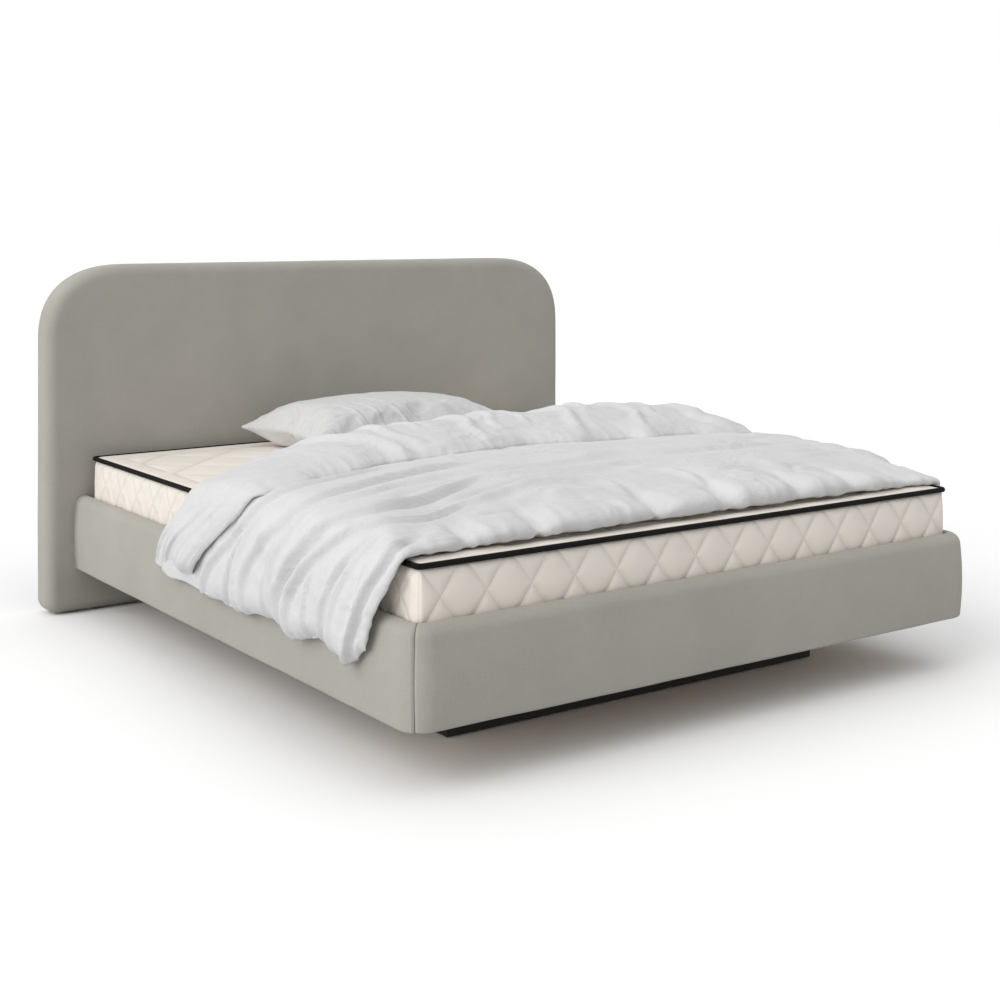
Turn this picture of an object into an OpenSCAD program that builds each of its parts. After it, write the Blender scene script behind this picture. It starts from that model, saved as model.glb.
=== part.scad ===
// Upholstered bed: padded headboard, padded floating rails, plinth, slatted base, mattress and bedding.
// Origin at the middle of the whole footprint on the floor, +Y to the head, +X to the right from the foot.

/* [Mattress] */
// Width of the mattress over its piping
mattress_w = 1800; // [1200:10:2000]
// Length of the mattress over its piping
mattress_l = 2000; // [1900:10:2200]
// Height of the mattress over both pipings
mattress_h = 224; // [180:1:300]
// Plan radius of the mattress corners
mattress_corner_r = 20; // [20:1:90]
// Height of the tape piping round the top and bottom edge
piping_d = 15; // [10:1:20]
// How far the piping stands out from the border
piping_proud = 3; // [1:1:5]
// Thickness of the border at its stitches
border_t = 9; // [6:1:14]
// How far a border diamond swells out between its stitches
border_puff = 7; // [2:1:10]
// Border diamonds across the foot end
foot_diamonds = 14; // [8:1:18]
// Border diamonds along one side
side_diamonds = 16; // [8:1:20]
// Height of one border diamond
diamond_h = 175; // [140:5:220]
// Thickness of the top and bottom panel
panel_t = 10; // [8:1:20]
// How far the top panel swells between its stitches
panel_puff = 5; // [2:1:8]
// Width of the plain edge strip round the quilted field of the top panel
panel_margin = 83; // [60:1:120]
// Thickness of each foam layer over and under the springs
comfort_foam_h = 25; // [15:1:50]

/* [Bed box] */
// Height of the rails
rail_h = 239; // [200:1:320]
// Clear height under the rails
rail_lift = 146; // [100:1:250]
// Thickness of the rail boards
rail_board_t = 20; // [18:1:30]
// Foam on the outside of a rail at its fullest
rail_pad_t = 20; // [14:1:30]
// Foam over the top edge of a rail board
rail_top_pad_t = 23; // [12:1:35]
// How far the rail's outside swells between its top and bottom edge
rail_bulge = 8; // [3:1:12]
// Radius of the rail's upper outside edge
rail_top_r = 40; // [25:1:44]
// Inside plan radius of the foot corners
rail_inner_corner_r = 24; // [12:1:30]
// Thickness of the cover fabric with its lining
fabric_t = 2; // [1:0.5:4]
// How far above the slats the cover's turn inside the rails ends
cover_flap_gap = 7; // [3:1:30]
// How much of the board's underside the cover is turned over
cover_turn_w = 18; // [10:1:20]
// Gap between mattress and rails
side_gap = 3; // [2:1:15]
// Gap between mattress and headboard
head_gap = 28; // [5:1:60]

/* [Slatted base] */
// Width of a slat
slat_w = 85; // [60:1:110]
// Thickness of a slat
slat_t = 20; // [14:1:24]
// Width of a ledge that carries the slats
ledge_w = 30; // [20:1:45]
// Height of a ledge
ledge_h = 30; // [20:1:34]
// Width of the centre beam
beam_w = 60; // [40:1:80]
// Height of the centre beam
beam_h = 60; // [50:1:80]
// Width of a cross bearer
bearer_w = 60; // [40:1:80]
// Height of a cross bearer
bearer_h = 64; // [50:1:80]
// Width of the tape under the slats
tape_w = 30; // [20:1:50]
// Thickness of the tape under the slats
tape_t = 1.5; // [1:0.5:3]

/* [Plinth] */
// Width of the plinth
plinth_w = 1270; // [900:10:1500]
// How far the plinth's front stands behind the outside of the foot rail
plinth_foot_inset = 334; // [200:1:500]
// How far the plinth's back stands in front of the headboard
plinth_head_inset = 334; // [200:1:500]
// Thickness of the plinth boards
plinth_board_t = 22; // [18:1:30]
// Side of a square corner block in the plinth
plinth_block = 40; // [30:1:60]

/* [Headboard] */
// Width of the headboard
headboard_w = 2070; // [1950:10:2300]
// Height of the headboard's top edge over the floor
headboard_h = 1135; // [900:5:1400]
// Thickness of the headboard
headboard_t = 105; // [100:1:140]
// Radius of the upper corners
headboard_corner_r = 250; // [150:5:320]
// Radius of the lower corners
headboard_foot_r = 45; // [40:1:60]
// Rounding of the front edge all round
headboard_front_r = 35; // [28:1:40]
// Rounding of the back edge all round
headboard_back_r = 20; // [12:1:24]
// Width of the frame timbers
timber_w = 60; // [56:1:80]
// Depth of the frame timbers
timber_d = 45; // [38:1:50]
// Height of the rail that takes the bed bolts
bolt_rail_h = 110; // [90:1:140]
// Thickness of the front panel
headboard_panel_t = 12; // [9:1:16]
// Foam round the sides of the frame
headboard_side_pad_t = 20; // [14:1:30]
// Width of the cover's turn on the back
back_turn_w = 66; // [50:1:72]

/* [Hardware] */
// Diameter of a bolt
bolt_d = 8; // [6:1:10]
// Thickness of the steel brackets
bracket_t = 4; // [3:1:6]
// Height of the steel brackets
bracket_h = 60; // [50:1:68]
// Length of one leg of a bracket
bracket_leg = 80; // [70:1:100]
// Height of a floor glide
glide_h = 4; // [3:1:8]
// Diameter of a floor glide
glide_d = 20; // [16:1:22]
// Length of a glide's stem
glide_stem_l = 45; // [35:1:60]

/* [Bedding] */
// Width of the pillow
pillow_w = 800; // [600:10:900]
// Length of the pillow
pillow_l = 550; // [400:10:600]
// Height of the pillow's crown over the mattress
pillow_h = 180; // [100:1:220]
// Distance of the pillow from the mattress's head end
pillow_head_gap = 75; // [20:5:150]
// How far the duvet hangs below the mattress's top edge
duvet_drop = 242; // [150:1:300]
// Distance of the duvet's foot edge from the mattress's foot end
duvet_foot_gap = 58; // [20:1:150]
// Distance of the duvet's folded head end from the pillow
duvet_pillow_gap = 152; // [80:1:300]
// Width of the folded-back cuff
cuff_w = 465; // [250:5:600]
// Loft of the duvet on the mattress
duvet_loft = 84; // [40:1:110]
// Loft of the duvet where it hangs
duvet_hang_t = 30; // [18:1:45]
// What the cuff adds to the loft
cuff_loft = 46; // [20:1:70]

/* [Fits] */
// Air between a cover and the foam inside it
skin_clear = 0.3; // [0.1:0.1:0.5]
// Air where one piece is pushed up to another
seat_clear = 0.3; // [0.1:0.1:0.5]
// Air round a bolt in its hole
bolt_clear = 0.15; // [0.1:0.05:0.5]

/* [Hidden] */
slat_count = 12;
slat_names = [for (i = [1:slat_count]) str("slat_", i < 10 ? "0" : "", i)];

$fn = 96;
FLAT_FN = 240;
eps = 0.01;

// Colours of the fabric, the wood and the rest
cloth_grey = [0.64, 0.62, 0.58];
foam_cream = [0.93, 0.89, 0.72];
pine = [0.85, 0.71, 0.50];
birch = [0.80, 0.66, 0.47];
near_black = [0.11, 0.10, 0.10];
steel = [0.62, 0.64, 0.66];
ticking = [0.95, 0.91, 0.86];
linen_white = [0.88, 0.89, 0.90];

// Plan of the bed box
rail_t = 2 * fabric_t + rail_board_t + rail_pad_t;
rail_corner_r = rail_inner_corner_r + rail_t;
total_l = rail_t + side_gap + mattress_l + head_gap + headboard_t;
foot_y = -total_l / 2;
back_y = total_l / 2;
headboard_front_y = back_y - headboard_t;
mattress_head_y = headboard_front_y - head_gap;
mattress_foot_y = mattress_head_y - mattress_l;
mattress_mid_y = (mattress_head_y + mattress_foot_y) / 2;
box_half_w = mattress_w / 2 + side_gap + rail_t;
corner_x = box_half_w - rail_corner_r;
corner_y = foot_y + rail_corner_r;
board_inner_x = mattress_w / 2 + side_gap + fabric_t;
board_inner_y = foot_y + rail_t - fabric_t;
rail_head_y = headboard_front_y - seat_clear;

// Heights of the bed box
rail_top_z = rail_lift + rail_h;
board_z = rail_lift + fabric_t;
board_h = rail_h - 2 * fabric_t - rail_top_pad_t;
beam_z = rail_lift + bearer_h;
slat_z = beam_z + beam_h;
mattress_z = slat_z + slat_t;
mattress_top_z = mattress_z + mattress_h;

// The rail's section has its x measured outward from the turning centre of the foot corner
board_section_x = rail_inner_corner_r + fabric_t;
rail_mid_z = rail_lift + rail_h / 2;
bulge_r = (rail_h * rail_h / 4 + rail_bulge * rail_bulge) / (2 * rail_bulge);
rail_bottom_r = 7;

// Mattress build-up from its outside inward
border_inset = piping_proud + border_puff;
core_inset = border_inset + border_t + seat_clear;
core_w = mattress_w - 2 * core_inset;
core_l = mattress_l - 2 * core_inset;
core_corner_ease = 4;
core_corner_r = mattress_corner_r - core_inset + core_corner_ease;
panel_w = mattress_w - 2 * piping_d;
panel_l = mattress_l - 2 * piping_d;
panel_corner_r = mattress_corner_r - piping_d;
core_z = mattress_z + panel_t;
top_panel_z = mattress_top_z - panel_puff - panel_t;
spring_h = top_panel_z - core_z - 2 * comfort_foam_h;

// Places of the brackets, bolts, bearers and slats
bracket_z = rail_lift + 15;
bolt_z = bracket_z + bracket_h / 2;
bolt_head_h = 5.5;
bolt_head_d = 14;
bolt_steps = [30, 60];
plate_leg = 60;
plate_steps = [20, 45];
small_bracket_leg = 50;
small_bracket_h = bearer_h - 20;
small_bolt_step = 30;
short_bolt_l = bracket_t + rail_board_t - 3;
bolt_bite = 28;
plinth_front_y = foot_y + plinth_foot_inset;
plinth_back_y = headboard_front_y - plinth_head_inset;
plinth_h = rail_lift - glide_h;
middle_bearer_y = (plinth_front_y + plinth_back_y - bearer_w) / 2;
bearer_ys = [plinth_front_y, middle_bearer_y, plinth_back_y - bearer_w];
slat_row_margin = 10;
slat_row_y = mattress_foot_y + slat_row_margin;
slat_row_l = mattress_l - 2 * slat_row_margin;
slat_pitch = (slat_row_l - slat_w) / (slat_count - 1);
slat_half_l = board_inner_x - 6;

// Headboard build-up from its back forward
frame_back_y = back_y - fabric_t;
frame_front_y = frame_back_y - timber_d;
board_panel_front_y = frame_front_y - headboard_panel_t;
frame_inset = max(fabric_t + headboard_side_pad_t, headboard_back_r);
frame_half_w = headboard_w / 2 - frame_inset;
frame_z = glide_h + frame_inset;
frame_top_z = headboard_h - frame_inset;
turn_x = headboard_w / 2 - headboard_corner_r;
turn_z = headboard_h - headboard_corner_r;
low_turn_x = headboard_w / 2 - headboard_foot_r;
low_turn_z = glide_h + headboard_foot_r;
frame_corner_r = headboard_corner_r - frame_inset;
bolt_rail_z = bolt_z - bolt_rail_h / 2;
// The lower outer corner of a stile is cut off where the cover's rounding comes in
stile_corner = headboard_foot_r - frame_inset;
stile_cut = stile_corner + 1 - sqrt(pow(headboard_foot_r - headboard_back_r, 2) - pow(stile_corner, 2));
headboard_glide_y = back_y - headboard_back_r - glide_d / 2 - 2;
headboard_glide_x = frame_half_w - 1.5 * timber_w;

// Small helpers

module mirrored_x() {
    children();
    mirror([1, 0, 0]) children();
}

// A plate standing upright across the bed, from its outline in x and z, its front face at y = 0
module upright(t) {
    translate([0, t, 0]) rotate([90, 0, 0]) linear_extrude(t) children();
}

module rounded_rect(w, l, r) {
    square([w - 2 * r, l], center = true);
    square([w, l - 2 * r], center = true);
    for (x = [-1, 1], y = [-1, 1]) translate([x * (w / 2 - r), y * (l / 2 - r)]) circle(r);
}

// Hexagon bolt along +z, its head under z = 0
module bolt(length) {
    translate([0, 0, -bolt_head_h]) cylinder(d = bolt_head_d, h = bolt_head_h, $fn = 6);
    translate([0, 0, -eps]) cylinder(d = bolt_d, h = length + eps);
}

module bolt_hole(length) {
    translate([0, 0, -1]) cylinder(d = bolt_d + 2 * bolt_clear, h = length + 1);
}

// Headboard

// Section of the padded slab: x runs outward up to the edge, y from the front to the back
module slab_edge(reach, inset) {
    front_x = reach - headboard_front_r;
    back_x = reach - headboard_back_r;
    back_turn_y = headboard_t - headboard_back_r;
    intersection() {
        square([reach, headboard_t]);
        union() {
            translate([0, headboard_front_r]) square([reach - inset, back_turn_y - headboard_front_r]);
            translate([0, inset]) square([front_x, headboard_t / 2 - inset]);
            translate([0, headboard_t / 2]) square([back_x, headboard_t / 2 - inset]);
            translate([front_x, headboard_front_r]) circle(headboard_front_r - inset);
            translate([back_x, back_turn_y]) circle(headboard_back_r - inset);
        }
    }
}

// The whole padded slab, every face drawn in by the inset
module slab(inset) {
    translate([0, headboard_front_y, low_turn_z]) linear_extrude(turn_z - low_turn_z) {
        slab_edge(headboard_w / 2, inset);
        mirror([1, 0]) slab_edge(headboard_w / 2, inset);
    }
    translate([turn_x, headboard_front_y, turn_z]) rotate([0, -90, 0])
        linear_extrude(2 * turn_x) slab_edge(headboard_corner_r, inset);
    translate([-low_turn_x, headboard_front_y, low_turn_z]) rotate([0, 90, 0])
        linear_extrude(2 * low_turn_x) slab_edge(headboard_foot_r, inset);
    mirrored_x() {
        translate([turn_x, headboard_front_y, turn_z]) rotate([-90, -90, 0])
            rotate_extrude(angle = 90) slab_edge(headboard_corner_r, inset);
        translate([low_turn_x, headboard_front_y, low_turn_z]) rotate([-90, 0, 0])
            rotate_extrude(angle = 90) slab_edge(headboard_foot_r, inset);
    }
}

// Outline of the headboard in x and z, drawn in by the inset, its lower corners square
module headboard_outline(inset) {
    half_w = headboard_w / 2 - inset;
    bottom_z = glide_h + inset;
    r = headboard_corner_r - inset;
    translate([-half_w, bottom_z]) square([2 * half_w, turn_z - bottom_z]);
    translate([-turn_x, turn_z - eps]) square([2 * turn_x, r + eps]);
    for (x = [-turn_x, turn_x]) translate([x, turn_z]) circle(r);
}

// Bolts run from the head brackets through the padding into the bolt rail
module at_headboard_bolts() {
    for (side = [-1, 1], step = bolt_steps)
        translate([side * (board_inner_x - step), headboard_front_y - bracket_t, bolt_z])
            rotate([-90, 0, 0]) children();
}

module headboard_bolt_holes() {
    at_headboard_bolts() bolt_hole(headboard_bolt_l() + 2);
}

function headboard_bolt_l() = bracket_t + frame_front_y - headboard_front_y + bolt_bite;

module at_headboard_glides() {
    for (x = [-headboard_glide_x, 0, headboard_glide_x]) translate([x, headboard_glide_y, 0]) children();
}

module glide_holes() {
    cylinder(d = bolt_d + 2 * bolt_clear, h = glide_h + glide_stem_l + 2);
}

module stile(side) {
    inner_x = frame_half_w - timber_w;
    cut = max(0, stile_cut);
    color(pine) translate([0, frame_front_y, 0]) mirror([side < 0 ? 1 : 0, 0, 0]) upright(timber_d)
        polygon([[inner_x, frame_z], [frame_half_w - cut, frame_z], [frame_half_w, frame_z + cut],
                 [frame_half_w, turn_z], [inner_x, turn_z]]);
}

module headboard_left_stile() {
    stile(-1);
}

module headboard_right_stile() {
    stile(1);
}

module headboard_top_rail() {
    color(pine) translate([-turn_x, frame_front_y, frame_top_z - timber_w])
        cube([2 * turn_x, timber_d, timber_w]);
}

// Quarter rings that carry the padding round the upper corners
module headboard_corner_blocks() {
    color(birch) mirrored_x() translate([turn_x, frame_front_y, turn_z]) rotate([-90, -90, 0])
        rotate_extrude(angle = 90) translate([frame_corner_r - timber_w, 0]) square([timber_w, timber_d]);
}

module between_stiles(z, h) {
    half_w = frame_half_w - timber_w;
    translate([-half_w, frame_front_y, z]) cube([2 * half_w, timber_d, h]);
}

module headboard_bolt_rail() {
    color(pine) difference() {
        between_stiles(bolt_rail_z, bolt_rail_h);
        headboard_bolt_holes();
    }
}

module headboard_bottom_rail() {
    color(pine) difference() {
        between_stiles(frame_z, timber_w);
        at_headboard_glides() glide_holes();
    }
}

module headboard_panel() {
    color(birch) difference() {
        translate([0, board_panel_front_y, 0]) upright(headboard_panel_t) headboard_outline(frame_inset);
        headboard_bolt_holes();
    }
}

module headboard_foam() {
    color(foam_cream) difference() {
        slab(fabric_t + skin_clear);
        translate([0, board_panel_front_y, 0]) upright(headboard_t) headboard_outline(frame_inset);
        headboard_bolt_holes();
        at_headboard_glides() glide_holes();
    }
}

module headboard_cover() {
    color(cloth_grey) difference() {
        slab(0);
        slab(fabric_t);
        translate([0, frame_back_y - skin_clear, 0]) upright(headboard_t) headboard_outline(back_turn_w);
        headboard_bolt_holes();
        at_headboard_glides() translate([0, 0, -1]) glide_holes();
    }
}

module headboard_back_cloth() {
    color(near_black) translate([0, frame_back_y, 0])
        upright(fabric_t) headboard_outline(back_turn_w + seat_clear);
}

// Rails

// Section of a padded rail: swelled outside, round upper edge, every face drawn in by the inset
module rail_section(inset) {
    bulge_x = rail_corner_r - bulge_r;
    top_turn_z = rail_top_z - rail_top_r;
    low_turn = rail_lift + rail_bottom_r;
    top_reach = bulge_r - rail_top_r;
    low_reach = bulge_r - rail_bottom_r;
    top_turn_x = bulge_x + sqrt(top_reach * top_reach - pow(top_turn_z - rail_mid_z, 2));
    low_turn_x = bulge_x + sqrt(low_reach * low_reach - pow(low_turn - rail_mid_z, 2));
    top_touch_z = top_turn_z + (rail_top_r - inset) * (top_turn_z - rail_mid_z) / top_reach;
    low_touch_z = low_turn + (rail_bottom_r - inset) * (low_turn - rail_mid_z) / low_reach;
    inner_x = rail_inner_corner_r + inset;
    intersection() {
        translate([inner_x, rail_lift + inset]) square([rail_t, rail_h - 2 * inset]);
        union() {
            intersection() {
                translate([bulge_x, rail_mid_z]) circle(bulge_r - inset, $fn = FLAT_FN);
                translate([inner_x, low_touch_z]) square([rail_t, top_touch_z - low_touch_z]);
            }
            translate([top_turn_x, top_turn_z]) circle(rail_top_r - inset);
            translate([low_turn_x, low_turn]) circle(rail_bottom_r - inset);
            translate([inner_x, rail_lift + inset]) square([low_turn_x - inner_x, rail_bottom_r]);
        }
    }
}

module foam_section() {
    difference() {
        rail_section(fabric_t + skin_clear);
        translate([0, rail_lift]) square([board_section_x + rail_board_t, fabric_t + board_h]);
    }
}

// The cover goes over the top and down inside, and turns in under the board
module cover_section() {
    difference() {
        rail_section(0);
        rail_section(fabric_t);
        square([board_section_x, mattress_z + cover_flap_gap]);
        square([board_section_x + rail_board_t - cover_turn_w, rail_mid_z]);
    }
}

// One side rail's shape, from the headboard to the seam in the middle of the foot corner
module side_sweep(side) {
    mirror([side < 0 ? 1 : 0, 0, 0]) {
        translate([corner_x, rail_head_y, 0]) rotate([90, 0, 0])
            linear_extrude(rail_head_y - corner_y) children();
        translate([corner_x, corner_y, 0]) mirror([0, 1, 0]) rotate_extrude(angle = 45) children();
    }
}

// The foot rail's shape, from seam to seam
module foot_sweep() {
    translate([-corner_x, corner_y, 0]) rotate([90, 0, 90]) linear_extrude(2 * corner_x)
        mirror([1, 0]) children();
    mirrored_x() translate([corner_x, corner_y, 0]) rotate([0, 0, -90]) rotate_extrude(angle = 45)
        children();
}

module at_head_rail_bolts() {
    for (step = bolt_steps) translate([board_inner_x - bracket_t, headboard_front_y - step, bolt_z])
        rotate([0, 90, 0]) children();
}

module at_corner_side_bolts() {
    for (step = plate_steps) translate([board_inner_x - bracket_t, corner_y + step, bolt_z])
        rotate([0, 90, 0]) children();
}

module at_corner_foot_bolts() {
    for (step = plate_steps) translate([corner_x - step, board_inner_y + bracket_t, bolt_z])
        rotate([90, 0, 0]) children();
}

small_bolt_z = rail_lift + bearer_h / 2;

module at_bearer_board_bolts() {
    for (y = bearer_ys) translate([board_inner_x - bracket_t, y + bearer_w + small_bolt_step, small_bolt_z])
        rotate([0, 90, 0]) children();
}

module at_bearer_side_bolts(y) {
    translate([board_inner_x - small_bolt_step, y + bearer_w + bracket_t, small_bolt_z])
        rotate([90, 0, 0]) children();
}

module side_board(side) {
    color(birch) mirror([side < 0 ? 1 : 0, 0, 0]) difference() {
        translate([board_inner_x, corner_y, board_z]) cube([rail_board_t, rail_head_y - corner_y, board_h]);
        at_head_rail_bolts() bolt_hole(rail_board_t * 2);
        at_corner_side_bolts() bolt_hole(rail_board_t * 2);
        at_bearer_board_bolts() bolt_hole(rail_board_t * 2);
    }
}

module left_rail_board() {
    side_board(-1);
}

module right_rail_board() {
    side_board(1);
}

module foot_rail_board() {
    color(birch) difference() {
        translate([-corner_x, board_inner_y - rail_board_t, board_z])
            cube([2 * corner_x, rail_board_t, board_h]);
        mirrored_x() at_corner_foot_bolts() bolt_hole(rail_board_t * 2);
    }
}

module foot_corner_posts() {
    color(pine) mirrored_x() translate([corner_x, corner_y, board_z]) rotate([0, 0, -90])
        rotate_extrude(angle = 90) translate([board_section_x, 0]) square([rail_board_t, board_h]);
}

module left_rail_foam() {
    color(foam_cream) side_sweep(-1) foam_section();
}

module right_rail_foam() {
    color(foam_cream) side_sweep(1) foam_section();
}

module foot_rail_foam() {
    color(foam_cream) foot_sweep() foam_section();
}

module left_rail_cover() {
    color(cloth_grey) side_sweep(-1) cover_section();
}

module right_rail_cover() {
    color(cloth_grey) side_sweep(1) cover_section();
}

module foot_rail_cover() {
    color(cloth_grey) foot_sweep() cover_section();
}

// Brackets and bolts

module head_brackets() {
    color(steel) difference() {
        mirrored_x() translate([board_inner_x, headboard_front_y, bracket_z]) {
            translate([-bracket_t, -bracket_leg, 0]) cube([bracket_t, bracket_leg, bracket_h]);
            translate([-bracket_leg, -bracket_t, 0]) cube([bracket_leg, bracket_t, bracket_h]);
        }
        mirrored_x() at_head_rail_bolts() bolt_hole(rail_board_t);
        headboard_bolt_holes();
    }
}

// Flat steel bent round the inside of each corner post
module corner_plates() {
    color(steel) mirrored_x() difference() {
        translate([corner_x, corner_y, bracket_z]) {
            rotate([0, 0, -90]) rotate_extrude(angle = 90)
                translate([board_section_x - bracket_t, 0]) square([bracket_t, bracket_h]);
            translate([board_section_x - bracket_t, 0, 0]) cube([bracket_t, plate_leg, bracket_h]);
            translate([-plate_leg, -board_section_x, 0]) cube([plate_leg, bracket_t, bracket_h]);
        }
        at_corner_side_bolts() bolt_hole(rail_board_t);
        at_corner_foot_bolts() bolt_hole(rail_board_t);
    }
}

module bearer_bracket(y) {
    translate([board_inner_x, y + bearer_w, rail_lift + (bearer_h - small_bracket_h) / 2]) {
        translate([-bracket_t, 0, 0]) cube([bracket_t, small_bracket_leg, small_bracket_h]);
        translate([-small_bracket_leg, 0, 0]) cube([small_bracket_leg, bracket_t, small_bracket_h]);
    }
}

module bearer_brackets() {
    color(steel) mirrored_x() difference() {
        for (y = bearer_ys) bearer_bracket(y);
        at_bearer_board_bolts() bolt_hole(rail_board_t);
        for (y = bearer_ys) at_bearer_side_bolts(y) bolt_hole(rail_board_t);
    }
}

module bed_bolts() {
    color(steel) {
        mirrored_x() {
            at_head_rail_bolts() bolt(short_bolt_l);
            at_corner_side_bolts() bolt(short_bolt_l);
            at_corner_foot_bolts() bolt(short_bolt_l);
            at_bearer_board_bolts() bolt(short_bolt_l);
            for (y = bearer_ys) at_bearer_side_bolts(y) bolt(short_bolt_l);
        }
        at_headboard_bolts() bolt(headboard_bolt_l());
    }
}

// Bearers, beam, ledges and slats

module bearer(y) {
    color(pine) difference() {
        translate([-board_inner_x, y, rail_lift]) cube([2 * board_inner_x, bearer_w, bearer_h]);
        mirrored_x() at_bearer_side_bolts(y) bolt_hole(rail_board_t + bracket_t + 2);
    }
}

module front_bearer() {
    bearer(bearer_ys[0]);
}

module middle_bearer() {
    bearer(bearer_ys[1]);
}

module rear_bearer() {
    bearer(bearer_ys[2]);
}

module centre_beam() {
    beam_y = board_inner_y + seat_clear;
    color(pine) translate([-beam_w / 2, beam_y, beam_z]) cube([beam_w, mattress_head_y - beam_y, beam_h]);
}

module slat_ledge() {
    color(pine) translate([board_inner_x - ledge_w, corner_y, slat_z - ledge_h])
        cube([ledge_w, mattress_head_y - corner_y, ledge_h]);
}

module left_slat_ledge() {
    mirror([1, 0, 0]) slat_ledge();
}

module right_slat_ledge() {
    slat_ledge();
}

module slat(i) {
    color(birch) translate([-slat_half_l, slat_row_y + (i - 1) * slat_pitch, slat_z])
        cube([2 * slat_half_l, slat_w, slat_t]);
}

// Webbing stapled under the slats holds them in a row
module slat_tapes() {
    color(near_black) mirrored_x()
        translate([mattress_w / 4 - tape_w / 2, slat_row_y, slat_z - tape_t])
            cube([tape_w, slat_row_l, tape_t]);
}

// Plinth and glides

module plinth_cross_board(y) {
    color(near_black) translate([-plinth_w / 2, y, glide_h]) cube([plinth_w, plinth_board_t, plinth_h]);
}

module plinth_long_board(x) {
    y = plinth_front_y + plinth_board_t;
    color(near_black) translate([x - plinth_board_t / 2, y, glide_h])
        cube([plinth_board_t, plinth_back_y - plinth_board_t - y, plinth_h]);
}

module plinth_front_board() {
    plinth_cross_board(plinth_front_y);
}

module plinth_back_board() {
    plinth_cross_board(plinth_back_y - plinth_board_t);
}

module plinth_left_board() {
    plinth_long_board(-(plinth_w - plinth_board_t) / 2);
}

module plinth_right_board() {
    plinth_long_board((plinth_w - plinth_board_t) / 2);
}

module plinth_centre_board() {
    plinth_long_board(0);
}

module at_plinth_corners() {
    in = plinth_board_t + plinth_block / 2;
    for (x = [-1, 1], y = [plinth_front_y + in, plinth_back_y - in])
        translate([x * (plinth_w / 2 - in), y, 0]) children();
}

module plinth_corner_blocks() {
    color(pine) at_plinth_corners() difference() {
        translate([-plinth_block / 2, -plinth_block / 2, glide_h])
            cube([plinth_block, plinth_block, plinth_h]);
        glide_holes();
    }
}

module glide() {
    cylinder(d = glide_d, h = glide_h);
    translate([0, 0, glide_h - eps]) cylinder(d = bolt_d, h = glide_stem_l + eps);
}

module floor_glides() {
    color(near_black) {
        at_plinth_corners() glide();
        at_headboard_glides() glide();
    }
}

// Grid solids for quilted and soft pieces

function flat(rows) = [for (row = rows) for (p = row) p];

// Triangles of one grid cell, split along the one diagonal or the other
function cell(a, b, d, e, rising) = rising ? [[a, e, b], [a, d, e]] : [[a, d, b], [b, d, e]];

// Indices round the edge of a grid, in order
function grid_rim(rows, cols) = concat(
    [for (c = [0:cols - 1]) c],
    [for (r = [1:rows - 1]) r * cols + cols - 1],
    [for (c = [cols - 2:-1:0]) (rows - 1) * cols + c],
    [for (r = [rows - 2:-1:1]) r * cols]);

// A closed solid between two grids of the same size; rising(row, col) picks each cell's diagonal
module between_grids(upper, lower, rising) {
    rows = len(upper);
    cols = len(upper[0]);
    n = rows * cols;
    top = [for (r = [0:rows - 2], c = [0:cols - 2]) let (a = r * cols + c)
        each cell(a, a + 1, a + cols, a + cols + 1, rising(r, c))];
    under = [for (f = top) [f[0] + n, f[2] + n, f[1] + n]];
    rim = grid_rim(rows, cols);
    sides = [for (k = [0:len(rim) - 1]) let (a = rim[k], b = rim[(k + 1) % len(rim)])
        each [[a, b, b + n], [a, b + n, a + n]]];
    polyhedron(concat(flat(upper), flat(lower)), concat(top, under, sides));
}

// Mattress

module core_layer(z, h) {
    translate([0, mattress_mid_y, z]) linear_extrude(h) rounded_rect(core_w, core_l, core_corner_r);
}

module mattress_spring_core() {
    color(linen_white) core_layer(core_z + comfort_foam_h, spring_h);
}

module mattress_top_foam() {
    color(foam_cream) core_layer(top_panel_z - comfort_foam_h, comfort_foam_h);
}

module mattress_bottom_foam() {
    color(foam_cream) core_layer(core_z, comfort_foam_h);
}

// The border's plan is a rounded rectangle: side 0 is the foot, then the right, head and left side in turn.
// Along a side, s runs from the corner seam before it to the one after it, at the depth of the stitches.
border_w = mattress_w - 2 * border_inset;
border_l = mattress_l - 2 * border_inset;
border_r = mattress_corner_r - border_inset;
border_arc = PI * border_r / 4;
corner_steps = 3;

function side_run(side) = (side % 2 == 0 ? border_w : border_l) - 2 * border_r;

function border_point(side, s, out, z) =
    let (run = side_run(side),
         depth = side % 2 == 0 ? border_l : border_w,
         turn = s < border_arc ? 45 * (s / border_arc - 1)
              : s > border_arc + run ? 45 * (s - border_arc - run) / border_arc : 0,
         x = max(-run / 2, min(run / 2, s - border_arc - run / 2)) + (border_r + out) * sin(turn),
         y = -(depth / 2 - border_r) - (border_r + out) * cos(turn),
         a = 90 * side)
    [x * cos(a) - y * sin(a), mattress_mid_y + x * sin(a) + y * cos(a), z];

// The stitches cross on the middle row at every odd half diamond and on the lower row at every even one
border_mid_z = mattress_top_z - diamond_h / 2;
border_zs = [mattress_z + piping_d, border_mid_z - diamond_h / 2, border_mid_z, mattress_top_z - piping_d];

function half_diamonds(side) = 2 * (side % 2 == 0 ? foot_diamonds : side_diamonds);
function half_diamond(side) = (side_run(side) + 2 * border_arc) / half_diamonds(side);

// Swell at half diamond k of a row: nothing at the corner seams and at the crossings
function station_swell(side, row, k) =
    k % half_diamonds(side) != 0 && (row == 1 || row == 2) && (row + k) % 2 == 0 ? border_puff : 0;

function border_swell(side, s, row) =
    let (u = s / half_diamond(side), k = floor(u + eps), part = max(0, u - k))
    station_swell(side, row, k) * (1 - part) + station_swell(side, row, k + 1) * part;

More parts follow.
